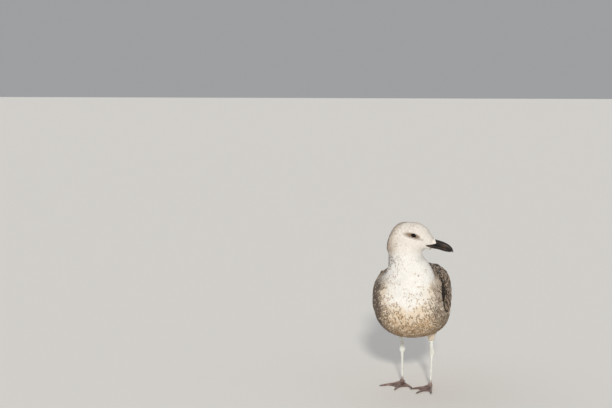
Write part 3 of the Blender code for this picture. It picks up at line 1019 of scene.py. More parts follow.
def lie(mm: Rows, normals: Rows) -> Rows:
    """The way feathers point on the bird, flat on its surface.

    Args:
        mm: Places, in millimetres from between the feet.
        normals: The surface's normals there.

    Returns:
        Directions of length one.
    """
    z = mm[:, 2]
    head = ANATOMY.head_mm(mm)
    backward = -np.array(ANATOMY.head_axis(1, 0, 0))
    down = np.array((0.0, 0.0, -1.0))
    fall = 0.12 + 0.9 * eased(6, -34, head[:, 0]) + 0.75 * eased(-14, -34, head[:, 2])
    on_head = backward[None] + fall[:, None] * down[None]
    steep = 0.25 + 0.75 * eased(-20, -110, mm[:, 1]) * eased(275, 235, z)
    on_trunk = np.column_stack([np.zeros(len(mm)), np.ones(len(mm)), -steep])
    thigh = eased(128, 112, z) * (mm[:, 1] > -40)
    on_trunk = on_trunk * (1 - thigh)[:, None] + np.array((0, 0.35, -1.0)) * thigh[:, None]
    on_neck = np.tile(down, (len(mm), 1)) + np.array((0, 0.25, 0))
    neck = eased(232, 262, z) * eased(-40, -66, mm[:, 1])
    skull = eased(300, 326, z)
    way = unit(on_trunk) * (1 - neck)[:, None] + unit(on_neck) * (neck * (1 - skull))[:, None]
    return tangent(way + unit(on_head) * skull[:, None], normals)


def blend(first: Rows, second: Colour | Rows, share: Rows) -> Rows:
    """One set of colours mixed with another by a share each."""
    return first * (1 - share)[:, None] + np.asarray(second) * share[:, None]


def evenly(values: Rows) -> Rows:
    """Sums of random values, spread evenly from 0 to 1."""
    return 1 / (1 + np.exp(-1.7 * (values - 0.5) / 0.125))


@dataclass(frozen=True)
class Markings:
    """The young bird's colours, place by place, for both its feathers and its skin, some with painted shade
    and painted warm light in them.
    """

    white: Colour = (0.90, 0.88, 0.85)
    face: Colour = (0.845, 0.795, 0.735)
    # cream, tan, brown, belly and thigh are the plumage's own buff, brown and cream made warmer, as painted
    # warm bounce light from below.
    cream: Colour = (0.81, 0.71, 0.575)
    tan: Colour = (0.655, 0.46, 0.265)
    pale_mark: Colour = (0.50, 0.365, 0.24)
    brown: Colour = (0.185, 0.107, 0.05)
    umber: Colour = (0.085, 0.06, 0.044)
    streak: Colour = (0.075, 0.058, 0.05)
    soft_streak: Colour = (0.40, 0.29, 0.205)
    slate: Colour = (0.068, 0.058, 0.052)
    buff: Colour = (0.50, 0.395, 0.295)
    smudge: Colour = (0.18, 0.105, 0.053)
    belly: Colour = (0.34, 0.215, 0.105)
    flank: Colour = (0.52, 0.385, 0.265)
    # The rim colour is partly the outer flanks' dark plumage and partly painted shade.
    rim: Colour = (0.145, 0.11, 0.09)
    vent: Colour = (0.80, 0.77, 0.72)
    thigh: Colour = (0.88, 0.76, 0.61)
    hindneck: Colour = (0.40, 0.285, 0.185)

    def nape(self, mm: Rows) -> Rows:
        """1 on the hindneck, which turns with the head, to 0 at the throat."""
        turn = eased(245, 318, mm[:, 2])
        middle = np.column_stack([4 - 0 * turn, -88 - 13 * eased(230, 300, mm[:, 2])])
        away = unit(mm[:, :2] - middle)
        way = unit(np.column_stack([-0.25 - 0.75 * turn, 1 - 0.86 * turn]))
        return eased(-0.25, 0.8, (away * way).sum(1))

    def smudged(self, mm: Rows) -> Rows:
        """How dark the face is round the eye, before it and over the ears, from 0 to 0.95."""
        u, v, w = ANATOMY.head_mm(mm).T
        ahead, up = u - ANATOMY.gaze_at[0], w - ANATOMY.gaze_at[2]
        above = up + np.where(ahead < 0, -0.06, 0.20) * ahead
        reach = np.hypot(ahead / np.where(ahead < 0, 25.0, 14.0), above / np.where(above > 0, 5.4, 8.2))
        shade = eased(1.2, 0.42, reach) * (np.abs(v) > 8) * (0.96 - 0.2 * (up > 3.0))
        lore = eased(1.0, 0.2, np.hypot((u - 36) / 13, (w - 8.5 - 0.1 * (u - 36)) / 3.6))
        lore = 0.442 * lore * eased(0.35, 0.6, cloud(mm, 3.2, 12))
        ears = eased(1.0, 0.2, np.hypot((u + 8) / 15, (w + 2) / 9)) * 0.10
        return np.clip(shade + lore + ears, 0, 0.95)

    def at(self, mm: Rows, rng: Chance) -> tuple[Rows, Rows, Rows]:
        """Each feather's colours and pattern.

        Args:
            mm: Places, in millimetres from between the feet.
            rng: The source of the feathers' small differences.

        Returns:
            Ground colours, mark colours and styles: spot, dark centre, fringe and a number of its own.
        """
        x, y, z = mm.T
        u, _, w = ANATOMY.head_mm(mm).T
        count = len(x)
        chance, luck, tone = rng.random((3, count))
        head = eased(302, 320, z)
        neck = eased(236, 270, z) * eased(-45, -66, y) * (1 - head)
        trunk = 1 - np.maximum(head, neck)
        nape = self.nape(mm)
        back = eased(236, 252, z) * eased(-100, -70, y)
        uneven = z + 18 * (cloud(mm, 15.0, 21) - 0.5) + 5 * (luck - 0.5)
        low = eased(206, 160, uneven)
        vent = eased(60, 130, y) * (z < 215)
        # edge is the bird's right flank and shoulder, the side turned from the key light; the denser, darker
        # marks and darker ground laid there are partly its darker flank plumage and partly painted shade of
        # that side.
        ragged = 6 * eased(244, 222, z) - 15 * eased(218, 194, z) + 9 * (cloud(mm, 9.0, 22) - 0.5)
        edge = eased(-26, -47, x + ragged) * (1 - 0.35 * eased(-70, -30, y))
        right = 0.28 * eased(6, -30, x) + (0.62 + 0.1 * eased(232, 246, z)) * edge
        left = 0.09 * eased(-14, 12, x) + 0.19 * eased(28, 46, x) + 0.30 * eased(46, 70, x)
        left = left * eased(268, 234, z) + 0.42 * eased(52, 60, x) * eased(222, 236, z)
        under = 0.64 * eased(210, 184, uneven) + 0.16 * eased(166, 136, z)
        cover = (1 - (1 - right) * (1 - left) * (1 - under)) * (1 - 0.4 * vent)

        ground = np.tile(np.array(self.white), (count, 1))
        ground = blend(ground, self.cream, trunk * eased(0.1, 0.6, cover) * (0.6 + 0.4 * chance))
        ground = blend(ground, self.tan, trunk * low * (0.2 + 0.8 * tone))
        # Painted shade and warm light with the browner belly plumage: the lowest part of the trunk takes the
        # dark, warm belly colour.
        ground = blend(ground, self.belly, trunk * eased(166, 132, uneven) * np.where(tone > 0.5, 0.85, 0.2))
        flanks = np.maximum(edge, 0.7 * eased(56, 70, x)) * (0.05 + 0.7 * tone)
        ground = blend(ground, self.flank, trunk * flanks)
        # Painted shade with dark flank plumage: the outer flanks darken, most on the bird's right side.
        flank_rims_and_shade = np.maximum(eased(-43, -58, x + 0.5 * ragged), 0.6 * eased(60, 74, x))
        ground = blend(ground, self.rim, trunk * flank_rims_and_shade * np.where(tone > 0.26, 0.94, 0.2))
        ground = blend(ground, self.vent, vent)
        ground = blend(ground, self.buff, back)
        # The thigh's warm cream is partly painted warm bounce light on white feathers.
        thigh = eased(126, 118, z) * eased(-46, -38, y)
        ground = blend(ground, self.thigh, thigh)
        ground = blend(ground, self.face, head * 0.8)
        mark = np.tile(np.array(self.pale_mark), (count, 1))
        mark = blend(mark, self.brown, np.clip(1.3 * cover + 0.5 * low, 0, 1) * (0.5 + 0.5 * luck))
        mark = blend(mark, self.umber, np.clip(edge + 0.9 * eased(50, 66, x), 0, 1) * (0.6 + 0.4 * luck))
        soft = blend(np.tile(np.array(self.soft_streak), (count, 1)), self.streak, np.clip(1.4 * nape, 0, 1))
        mark = blend(mark, soft, np.maximum(head, neck))
        mark = blend(mark, self.slate, np.maximum(back, edge * eased(232, 246, z)))

        blotch = evenly(0.50 * cloud(mm, 7.0, 3) + 0.28 * cloud(mm, 3.4, 4) + 0.22 * chance)
        drawn = eased(0.92 - cover, 1.04 - cover, blotch) * trunk * (cover > 0.01) * (0.65 + 0.35 * luck)
        fleck = evenly(0.5 * cloud(mm * (1, 1, 0.32), 2.4, 8) + 0.2 * cloud(mm, 5.0, 9) + 0.3 * chance)
        thin = neck * (0.05 + 0.16 * eased(12, -18, x) + 0.10 * eased(-16, -38, x) + 0.38 * nape**2)
        rear = eased(-22, -36, u)
        capped = 0.20 * eased(12, 22, w) * eased(34, 6, u) + 0.10 * eased(16, -14, u)
        thin = np.clip(thin + head * (0.05 + capped + 0.66 * rear), 0, 0.8)
        streaked = eased(0.93 - thin, 1.07 - thin, fleck) * (thin > 0.02)
        drawn = np.maximum(drawn * (1 - 0.75 * thigh), streaked * (1 - head * (1 - rear) * 0.45))

        centre = back * (0.9 + 0.1 * luck)
        fringe = 0.22 + 0.14 * tone
        shade = self.smudged(mm) * head * (0.75 + 0.4 * luck)
        ground = blend(ground, self.smudge, np.clip(shade, 0, 0.92))
        grey = 0.07 * head * eased(6, 24, w) + 0.6 * np.maximum(head, 0.5 * neck) * nape**3
        ground = blend(ground, self.hindneck, grey)
        ground = ground * (0.965 + 0.06 * tone)[:, None]
        mark = mark * (0.8 + 0.4 * luck)[:, None]
        style = np.column_stack([drawn * (1 - back), np.clip(centre, 0, 1), fringe, rng.random(count)])
        return ground, mark, style

    def skin(self, mm: Rows, rng: Chance) -> Rows:
        """The mean colour of the coat over each place of the skin."""
        ground, mark, style = self.at(mm, rng)
        share = np.clip(0.75 * style[:, 0] + 0.6 * style[:, 1], 0, 0.9)[:, None]
        return (ground * (1 - share) + mark * share) * 0.9


MARKINGS = Markings()


@dataclass
class Flesh:
    """The bird's skin, and the bed of its small feathers.

    Each trim is a place, its reach on the level, its reach in height and how far it moves out.
    """

    voxel: float = 2.3 * MM
    wing_cut: float = 205 * MM
    head_voxel: float = 1.2 * MM
    nodes: tuple[str, ...] = ("head", "neck", "trunk", "thigh_left", "thigh_right")
    head_nodes: tuple[str, ...] = ("head", "neck", "bill_upper", "bill_lower", "eye_left", "eye_right")
    seed: int = 5
    trims: Stations = (
        (44, -104, 311, 24, 17, -4.2),
        (46, -101, 354, 12, 9, 2.2),
    )
    bed: Bed | None = None
    head_bed: Bed | None = None

    def depth(self, mm: Rows) -> Rows:
        """How deep the skin lies under the feathers' outline, in millimetres."""
        head = eased(296, 326, mm[:, 2])
        thigh = eased(122, 108, mm[:, 2])
        rear = eased(110, 170, mm[:, 1])
        deep = 2.5 - 0.3 * rear - 0.8 * eased(250, 290, mm[:, 2])
        u, _, w = ANATOMY.head_mm(mm).T
        deep = deep * (1 - head) + (0.75 + 1.6 * eased(46, 52, u) * eased(-1, -4, w)) * head
        return deep * (1 - thigh) + 1.5 * thigh

    def trimmed(self, mesh: Mesh) -> Mesh:
        """Draws the throat in and rounds the forehead out, by a few millimetres.

        Args:
            mesh: A closed form of the head and neck.

        Returns:
            The same mesh.
        """
        places, normals = corners(mesh), corners(mesh, "normal")
        mm = ANATOMY.bird_mm(places)
        out = np.zeros(len(mm))
        for x, y, z, reach, height, by in self.trims:
            level = ((mm[:, 0] - x) ** 2 + (mm[:, 1] - y) ** 2) / reach**2
            out += by * np.exp(-level - ((mm[:, 2] - z) / height) ** 2)
        out *= eased(50, 44, ANATOMY.head_mm(mm)[:, 0] + 8 * (mm[:, 2] > 335))
        set_corners(mesh, places + normals * (out * MM)[:, None])
        return mesh

    def build(self) -> None:
        """Makes the bed and the skin, and stands the skin in for the nodes of flesh."""
        whole = merged((*self.nodes, "tail", "wing_left", "wing_right"), ORIGIN[1] + self.wing_cut)
        self.bed = Bed(self.trimmed(run_together(whole, self.voxel, 5)))
        self.head_bed = Bed(self.trimmed(run_together(merged(self.head_nodes), self.head_voxel, 4)))
        skin = self.trimmed(run_together(merged(self.nodes), self.voxel, 4))
        places, normals = corners(skin), corners(skin, "normal")
        mm = ANATOMY.bird_mm(places)
        places = places - normals * (self.depth(mm) * MM)[:, None]
        u, _, w = ANATOMY.head_places(places).T
        ahead = np.maximum(u - 50.5, 0) * eased(-1, -3.5, w) * MM
        places = places - ahead[:, None] * np.array(ANATOMY.head_axis(1, 0, 0))
        set_corners(skin, places)
        paint(skin, "coat", MARKINGS.skin(mm, np.random.default_rng(self.seed)))
        placed("skin", skin, SkinFinish().material(), "plumage", *self.nodes)


# Small feathers


Test = Callable[[Rows], Rows]


class Unwrap(Enum):
    """How a part of the coat is laid out flat on its own map."""

    HEAD = "each side of the head pressed flat"
    NECK = "turned about the neck"
    BREAST = "seen from the front"
    BELLY = "turned about the trunk, from below"
    BACK = "turned about the trunk, from above"
    THIGHS = "turned about each leg"


@dataclass(frozen=True)
class Size:
    """A small feather's length and half width, its spacing, and how deep its root lies, in mm."""

    length: float
    half: float
    apart: float
    deep: float


@dataclass(frozen=True)
class Zone:
    """A part of the coat, with its feathers' sizes at its two ends."""

    name: str
    unwrap: Unwrap
    blade: Blade
    first: Size
    last: Size
    grade: Test
    holds: Test
    loose: float

    def sizes(self, mm: Rows) -> list[Rows]:
        """Length, half width, spacing and depth at each place."""
        share = self.grade(mm)
        pairs = zip(vars(self.first).values(), vars(self.last).values())
        return [a + (b - a) * share for a, b in pairs]


@dataclass(frozen=True)
class Borders:
    """Where the parts of the coat meet, in millimetres from between the feet."""

    head_above: float = 309
    neck_above: float = 258
    back_above: float = 190
    back_behind: float = -52
    belly_behind: float = -86
    thigh_below: float = 121
    thigh_behind: float = -42
    thigh_beside: float = 12
    face_ahead: float = 14
    breast_middle: float = 4


BORDERS = Borders()


def graded(axis: int, low: float, high: float) -> Test:
    """What goes from 0 to 1 between two places on an axis."""
    return lambda mm: eased(low, high, mm[:, axis])


def share_of(area: Test, side: Test, wanted: bool) -> Test:
    """The places of an area that lie on one side of a border."""
    return lambda mm: area(mm) & (side(mm) == wanted)


def on_head(mm: Rows) -> Rows:
    """Places on the head."""
    return mm[:, 2] > BORDERS.head_above


def on_neck(mm: Rows) -> Rows:
    """Places on the neck."""
    return ~on_head(mm) & (mm[:, 2] > BORDERS.neck_above) & (mm[:, 1] < BORDERS.back_behind)


def on_thigh(mm: Rows) -> Rows:
    """Places on the feathered part of the legs."""
    beside = np.abs(mm[:, 0]) > BORDERS.thigh_beside
    return (mm[:, 2] < BORDERS.thigh_below) & (mm[:, 1] > BORDERS.thigh_behind) & beside


def on_back(mm: Rows) -> Rows:
    """Places on the mantle, back and rump."""
    return (mm[:, 2] > BORDERS.back_above) & (mm[:, 1] >= BORDERS.back_behind)


def on_trunk(mm: Rows) -> Rows:
    """Places on the breast and belly."""
    return ~(on_head(mm) | on_neck(mm) | on_thigh(mm) | on_back(mm))


def on_breast(mm: Rows) -> Rows:
    """Places on the breast."""
    return on_trunk(mm) & (mm[:, 1] < BORDERS.belly_behind)


def on_belly(mm: Rows) -> Rows:
    """Places on the belly and flanks."""
    return on_trunk(mm) & (mm[:, 1] >= BORDERS.belly_behind)


def on_face(mm: Rows) -> Rows:
    """Places ahead of the ears."""
    return ANATOMY.head_mm(mm)[:, 0] > BORDERS.face_ahead


def left_of_breast(mm: Rows) -> Rows:
    """Places left of the breast's middle."""
    return mm[:, 0] > BORDERS.breast_middle


def left_of_belly(mm: Rows) -> Rows:
    """Places left of the belly's middle."""
    return mm[:, 0] > 0


def near_bill(mm: Rows) -> Rows:
    """0 beside the bill and round the eye to 1 on the crown."""
    u, _, w = ANATOMY.head_mm(mm).T
    eye = np.hypot(u - ANATOMY.gaze_at[0], w - ANATOMY.gaze_at[2])
    return np.minimum(eased(54, 22, u), 0.45 + 0.55 * eased(8, 16, eye))


HEAD = (Unwrap.HEAD, TINY_BLADE, Size(2.7, 0.56, 0.70, 0.3), Size(5.0, 0.92, 1.14, 0.5), near_bill)
NECK = (Unwrap.NECK, SLIM_BLADE, Size(5.2, 0.95, 1.3, 1.0), Size(9.0, 1.65, 2.15, 1.6), graded(2, 310, 258))
BREAST = (Unwrap.BREAST, BODY_BLADE, Size(10, 1.9, 2.15, 1.8), Size(13.5, 2.6, 2.9, 2.2), graded(2, 262, 205))
BELLY = (Unwrap.BELLY, BODY_BLADE, Size(13.5, 2.7, 3.05, 2.2), Size(19, 4.4, 4.6, 2.6), graded(1, -90, 50))
BACK = (Unwrap.BACK, WIDE_BLADE, Size(13.0, 4.4, 4.8, 2.2), Size(22.0, 7.4, 7.0, 2.6), graded(1, -52, 10))
THIGHS = (Unwrap.THIGHS, SLIM_BLADE, Size(9.0, 1.8, 2.3, 1.2), Size(6.5, 1.4, 1.8, 0.9), graded(2, 121, 100))
ZONES = (
    Zone("face", *HEAD, share_of(on_head, on_face, True), 0.10),
    Zone("crown", *HEAD, share_of(on_head, on_face, False), 0.10),
    Zone("neck", *NECK, on_neck, 0.10),
    Zone("breast_left", *BREAST, share_of(on_breast, left_of_breast, True), 0.12),
    Zone("breast_right", *BREAST, share_of(on_breast, left_of_breast, False), 0.12),
    Zone("belly_left", *BELLY, share_of(on_belly, left_of_belly, True), 0.14),
    Zone("belly_right", *BELLY, share_of(on_belly, left_of_belly, False), 0.14),
    Zone("back", *BACK, on_back, 0.10),
    Zone("thighs", *THIGHS, on_thigh, 0.14),
)


@dataclass
class Coat:
    """All the small feathers on head, neck and trunk."""

    bed: Bed
    head_bed: Bed
    look: Look
    tries: int = 8
    seed: int = 11
    eye_bare: tuple[float, float] = (6.6, 4.3)
    lowest: float = 92
    tail_cover: float = 196

    def scattered(self, spots: Rows, apart: Rows) -> list[int]:
        """Picks places so that no two are closer than their spacing.

        Args:
            spots: Places in millimetres, in random order.
            apart: The spacing wanted at each.

        Returns:
            The numbers of the places kept.
        """
        cell = float(apart.max())
        keys = np.floor(spots / cell).astype(int)
        grid: dict[tuple[int, int, int], list[Place]] = {}
        around = [(i - 1, j - 1, k - 1) for i, j, k in np.ndindex(3, 3, 3)]
        kept = []
        rows = zip(spots.tolist(), keys.tolist(), (apart**2).tolist())
        for number, ((x, y, z), (a, b, c), limit) in enumerate(rows):
            near = (p for i, j, k in around for p in grid.get((a + i, b + j, c + k), ()))
            if all((p[0] - x) ** 2 + (p[1] - y) ** 2 + (p[2] - z) ** 2 >= limit for p in near):
                grid.setdefault((a, b, c), []).append((x, y, z))
                kept.append(number)
        return kept

    def bare(self, mm: Rows) -> Rows:
        """Places with no feathers: the eyes, the bill, the mouth's corner, wings and tail."""
        u, v, w = ANATOMY.head_mm(mm).T
        eye = ANATOMY.gaze_at
        wide, tall = self.eye_bare
        at_eye = np.hypot((u - eye[0]) / wide, (w - eye[2] + 0.2) / tall) < 1
        low, high = MOUTH.edges(u)
        at_mouth = (u > MOUTH.corner) & (w > low - 0.2) & (w < high + 0.2) & (np.abs(v) > 3.5)
        at_bill = (u > MOUTH.front(w)) | at_mouth
        face = (mm[:, 2] > 305) & ((at_eye & (np.abs(v) > 14)) | at_bill)
        rear = (mm[:, 1] > self.tail_cover) | ((mm[:, 1] > 172) & (mm[:, 2] < 182))
        edge = (mm[:, 1] > 70) & (WING.share_at(mm) > -0.25) & (WING.share_at(mm) < 1.1)
        loose = edge & (np.abs(mm[:, 0]) > np.interp(mm[:, 1], (70, 200), (40, 12)))
        roofed = (mm[:, 1] > 84) & (mm[:, 2] > 200)
        return face | WING.covers(mm) | rear | loose | roofed

    def homes(self, mm: Rows, unwrap: Unwrap) -> Rows:
        """Where each root lies on the map of its part of the coat, from 0 to 1.

        Args:
            mm: The roots' places.
            unwrap: How the part is laid out flat.

        Returns:
            Places on the map.
        """
        x, y, z = mm.T
        if unwrap is Unwrap.HEAD:
            u, v, w = ANATOMY.head_mm(mm).T
            ray = unit(np.column_stack([u - 5, v, w]))
            level = np.maximum(np.hypot(ray[:, 0], ray[:, 2]), 1e-6)
            fold = np.sqrt(np.maximum(1 - np.abs(ray[:, 1]), 0)) / level
            middle = np.where(v > 0, 0.25, 0.75)
            return np.column_stack([middle + ray[:, 0] * fold * 0.236, 0.5 + ray[:, 2] * fold * 0.45])
        if unwrap is Unwrap.NECK:
            spread = [np.arctan2(y + 95, x - 4), z]
        elif unwrap is Unwrap.THIGHS:
            spread = [np.arctan2(y, x - 34 * np.sign(x)) + 2 * pi * (x > 0), z]
        elif unwrap is Unwrap.BREAST:
            spread = [x, z]
        else:
            away = 1 if unwrap is Unwrap.BACK else -1
            spread = [np.arctan2(x, (z - 195) * away), y]
        return np.column_stack([0.01 + 0.98 * (a - a.min()) / np.ptp(a) for a in spread])

    def marched(self, bed: Bed, spots: Rows, zone: Zone, sizes: list[Rows], rng: Chance) -> Laying:
        """Lays feathers along the bed from their roots.

        Args:
            bed: The surface they lie on.
            spots: The roots.
            zone: The part of the coat.
            sizes: Length, half width, spacing and depth of each feather, in millimetres.
            rng: The source of their small differences.

        Returns:
            How they lie.
        """
        length, half, _, deep = sizes
        length = length * MM * rng.normal(1, 0.07, len(length))
        point, normal = bed.settle(spots)
        way = lie(ANATOMY.bird_mm(point), normal)
        sideways = np.cross(normal, way)
        way = unit(way + sideways * rng.normal(0, zone.loose, (len(way), 1)))
        middles, alongs, normals = [point], [way], [normal]
        for _ in range(zone.blade.rows):
            point, normal = bed.settle(point + way * (length / zone.blade.rows)[:, None])
            held = lie(ANATOMY.bird_mm(point), normal)
            way = tangent(way * 0.8 + held * 0.2, normal)
            middles.append(point)
            alongs.append(way)
            normals.append(normal)
        share = np.linspace(0, 1, zone.blade.rows + 1)[None]
        rise = -(deep * MM)[:, None] * (1 - share) ** 1.6 - 0.1 * MM
        if bed is self.head_bed:
            rise = rise + 0.85 * MM * eased(47, 54, ANATOMY.head_places(point)[:, 0])[:, None]
        curl = rng.gamma(1.5, 0.08, len(length)) * MM * np.minimum(length / (14 * MM), 1)
        curl = curl * np.where(rng.random(len(length)) < 0.05, 3.0, 1.0)
        stack = [np.stack(rows, 1) for rows in (middles, alongs, normals)]
        return Laying(*stack, length, half * MM * rng.normal(1, 0.08, len(half)), rise, curl)

    def build(self) -> None:
        """Makes one piece of each part of the coat."""
        for number, zone in enumerate(ZONES):
            rng = np.random.default_rng(self.seed + number)
            bed = self.head_bed if zone.unwrap is Unwrap.HEAD else self.bed
            middles = bed.middles()
            chosen = zone.holds(middles) & ~self.bare(middles) & (middles[:, 2] > self.lowest)
            weights = np.where(chosen, bed.areas / (zone.sizes(middles)[2] * MM) ** 2, 0)
            spots = bed.sample(weights, int(self.tries * weights.sum() / 0.75), rng)
            mm = ANATOMY.bird_mm(spots)
            inside = np.flatnonzero(zone.holds(mm) & ~self.bare(mm))
            kept = inside[self.scattered(mm[inside], zone.sizes(mm[inside])[2])]
            sizes = zone.sizes(mm[kept])
            lay = self.marched(bed, spots[kept], zone, sizes, rng)
            points, quads, vane = shaped(zone.blade, lay, rng)
            ground, mark, style = MARKINGS.at(ANATOMY.bird_mm(lay.middles[:, -2]), rng)
            mark = np.column_stack([mark, lay.length * 10])
            patch = np.full((len(kept), 2), max(0.003, 0.3 / len(kept) ** 0.5))
            home = self.homes(mm[kept], zone.unwrap)
            batch = Batch(points, quads, vane, ground, mark, style, home, patch)
            placed("coat_" + zone.name, joined([batch]), self.look, "plumage")


# Wings and tail


@dataclass(frozen=True)
class Pattern:
    """A wing feather's colours at its edge and in its middle, and its fringe's width."""

    edge: Colour
    middle: Colour
    fringe: float


SCAPULAR = Pattern((0.64, 0.50, 0.37), (0.030, 0.027, 0.028), 0.14)
LESSER = Pattern((0.60, 0.455, 0.33), (0.040, 0.028, 0.021), 0.185)
GREATER = Pattern((0.54, 0.46, 0.37), (0.066, 0.052, 0.043), 0.20)
TERTIAL = Pattern((0.58, 0.51, 0.42), (0.05, 0.04, 0.035), 0.20)
SECONDARY = Pattern((0.38, 0.33, 0.27), (0.038, 0.031, 0.028), 0.08)
PRIMARY = Pattern((0.26, 0.22, 0.19), (0.022, 0.020, 0.019), 0.035)


@dataclass(frozen=True)
class Row:
    """A row of feathers on the wing, from its first root to its last.

    Places are (how far back, share from upper to lower edge), sizes in millimetres, and angle is
    how far the feathers point down from straight back, in degrees.
    """

    count: int
    start: tuple[float, float]
    end: tuple[float, float]
    length: tuple[float, float]
    half: tuple[float, float]
    angle: tuple[float, float]
    level: float
    deep: float
    pattern: Pattern
    blade: Blade = WIDE_BLADE
    loose: float = 3.0
    lift: float = 0.4


@dataclass
class Wing:
    """One folded wing: an inner core and its rows of feathers."""

    side: Side
    core_look: Look
    look: Look
    seed_left: int = 31
    seed_right: int = 47
    core_end: float = 202
    spine: float = 195
    outer_inset: Table = ((-91, 4.6), (-60, 5.6), (90, 5.4), (150, 3.9), (202, 3.4))
    inner_inset: Table = ((-91, -2.0), (90, -1.0), (150, 1.4), (202, 2.2))
    shoulder_inset: float = 5.0
    rng: Chance = field(init=False)

    def __post_init__(self) -> None:
        """Seeds the wing's small differences."""
        self.rng = np.random.default_rng(getattr(self, self.side.of("seed")))

    def rows(self) -> dict[str, list[Row]]:
        """The rows of each group, from the lowest layer to the top."""
        tips = (319, 293, 266, 240, 214, 190)
        return {
            "primaries": [
                Row(1, (96, 0.60 - 0.055 * i), (96, 0.6), (tip - 96,) * 2, (19.5 - 0.5 * i,) * 2,
                    (-0.15 * i,) * 2, -3.3 + 0.42 * i, 0.6, PRIMARY, LONG_BLADE, 0.0, 0.05)
                for i, tip in enumerate(tips)
            ],
            "secondaries": [
                Row(11, (-40, 0.84), (92, 0.74), (56, 78), (8.5, 11), (9, 4),
                    -3.2, 1.0, SECONDARY, LONG_BLADE, 0.8, 0.15),
            ],
            "tertials": [
                Row(5, (14, 0.66), (62, 0.22), (92, 108), (14.5, 16.5), (4, 1.0),
                    -1.9, 1.6, TERTIAL, LONG_BLADE, 1.5, 0.5),
                Row(4, (70, 0.16), (58, 0.0), (96, 108), (14.0, 13.0), (1.5, 0.0),
                    -1.0, 1.6, TERTIAL, LONG_BLADE, 0.8, 0.4),
            ],
            "greater_coverts": [
                Row(16, (-66, 0.76), (62, 0.56), (32, 48), (8.0, 10.5), (15, 7), -2.0, 1.4, GREATER),
                Row(15, (-74, 0.68), (44, 0.48), (24, 32), (7.2, 9.2), (16, 10), -1.4, 1.3, GREATER),
            ],
            "lesser_coverts": [
                Row(10 + r, (-88 + 1.2 * r, 0.97 - 0.105 * r), (-34 + 12 * r, 0.88 - 0.09 * r), (13, 19),
                    (4.8, 7.0), (16, 10), -1.3 + 0.08 * r, 1.5, LESSER, WIDE_BLADE, 6.0, 0.5)
                for r in range(8)
            ],
            "scapulars": [
                Row(14, (-80 + 5 * r, 0.50 - 0.080 * r), (68 - 3 * r, 0.42 - 0.070 * r), (19, 48),
                    (6.8, 11.5), (4, 1), -1.7 + 0.14 * r, 2.0, SCAPULAR, WIDE_BLADE, 7.0, 1.0)
                for r in range(7)
            ],
        }

    def laid(self, row: Row, cell: Callable[[int], tuple[Rows, Rows]]) -> Batch:
        """Lays one row of feathers on the wing's surface.

        Args:
            row: The row.
            cell: Gives so many places on the bake map, with their sizes.

        Returns:
            The feathers.
        """
        rng, count, blade = self.rng, row.count, row.blade
        share = np.linspace(0, 1, count) if count > 1 else np.zeros(1)
        jitter = rng.normal(0, 1, (4, count)) * (count > 1)
        ends = (*zip(row.start, row.end), row.length, row.half, row.angle)
        y0, c0, length, half, angle = (first + (last - first) * share for first, last in ends)
        y0 = y0 + jitter[0] * 1.2
        length = length * (1 + 0.05 * jitter[1])
        half = half * (1 + 0.04 * jitter[2])
        angle = np.radians(angle + row.loose * jitter[3])[:, None]
        girth = WING.around(self.side, y0)
        mould = blade.mould()
        t, s = mould.along, mould.across
        jag = rng.normal(0, blade.ragged, (count, blade.columns + 1))
        ahead = (t - mould.round_off + jag[:, mould.column] * t**4) * length[:, None]
        aside = half[:, None] * mould.width * s
        y = y0[:, None] + np.cos(angle) * ahead - np.sin(angle) * aside
        squeeze = np.minimum(WING.around(self.side, y) / girth[:, None], 1.0)
        down = (c0 * girth)[:, None] * squeeze + np.sin(angle) * ahead + np.cos(angle) * aside
        here, normal = WING.surface(self.side, y, down)
        curl = rng.gamma(2.0, 0.5, count) * row.lift
        slim = np.interp(y, (90, 200), (1, 0.5))
        lift = (row.level - row.deep * (1 - t) ** 1.4) * slim + curl[:, None] * t**3
        lift = lift - (blade.crown * half)[:, None] * (s * s) - blade.thick * mould.swell
        points = (here + normal * lift[..., None]) * MM + ORIGIN
        quads = mould.quads if self.side is Side.LEFT else mould.quads[:, ::-1]
        tone = 0.75 + 0.5 * rng.random(count)
        root = WING.surface(self.side, y0, c0 * girth)[0][:, 2]
        # Painted shade: feathers at the wing's front edge beside the breast are darkened where the gap
        # between breast and wing lies in shadow.
        bend = eased(-57, -69, y0 + 0.3 * length) * eased(252, 244, root) * eased(196, 208, root)
        painted_gap_shade_factor = (1 - 0.9 * bend)[:, None]
        ground = np.array(row.pattern.edge) * (0.85 + 0.3 * rng.random(count))[:, None] * painted_gap_shade_factor
        mark = np.array(row.pattern.middle) * tone[:, None] * (0.4 + 0.6 * painted_gap_shade_factor)
        fringe = row.pattern.fringe * (0.6 + 0.9 * rng.random(count)) * np.clip(30 / length, 0.3, 1)
        style = np.column_stack([np.zeros(count), np.ones(count), fringe, rng.random(count)])
        mark = np.column_stack([mark, length / 100])
        return Batch(points, quads, mould.vane(), ground, mark, style, *cell(count))

    def core(self) -> None:
        """The wing's hidden inner layers, just inside its node."""
        mesh = merged([self.side.of("wing")], ORIGIN[1] + self.core_end * MM)
        places, normals = corners(mesh), corners(mesh, "normal")
        mm = ANATOMY.bird_mm(places)
        spoke = unit(np.column_stack([mm[:, 0], 0 * mm[:, 0], mm[:, 2] - self.spine]))
        facing = eased(-0.5, 0.3, (spoke * normals).sum(1))
        outer, inner = (read_off(table, mm[:, 1]) for table in (self.outer_inset, self.inner_inset))
        inset = outer * facing + inner * (1 - facing)
        if self.side is Side.LEFT:
            shoulder = np.exp(-(((WING.share_at(mm) - 0.28) / 0.24) ** 2))
            inset = inset + self.shoulder_inset * shoulder * eased(130, 60, mm[:, 1])
        set_corners(mesh, places - normals * (inset * MM)[:, None])
        mesh.shade_smooth()
        placed(self.side.of("wing_core"), mesh, self.core_look, "wing", self.side.of("wing"))

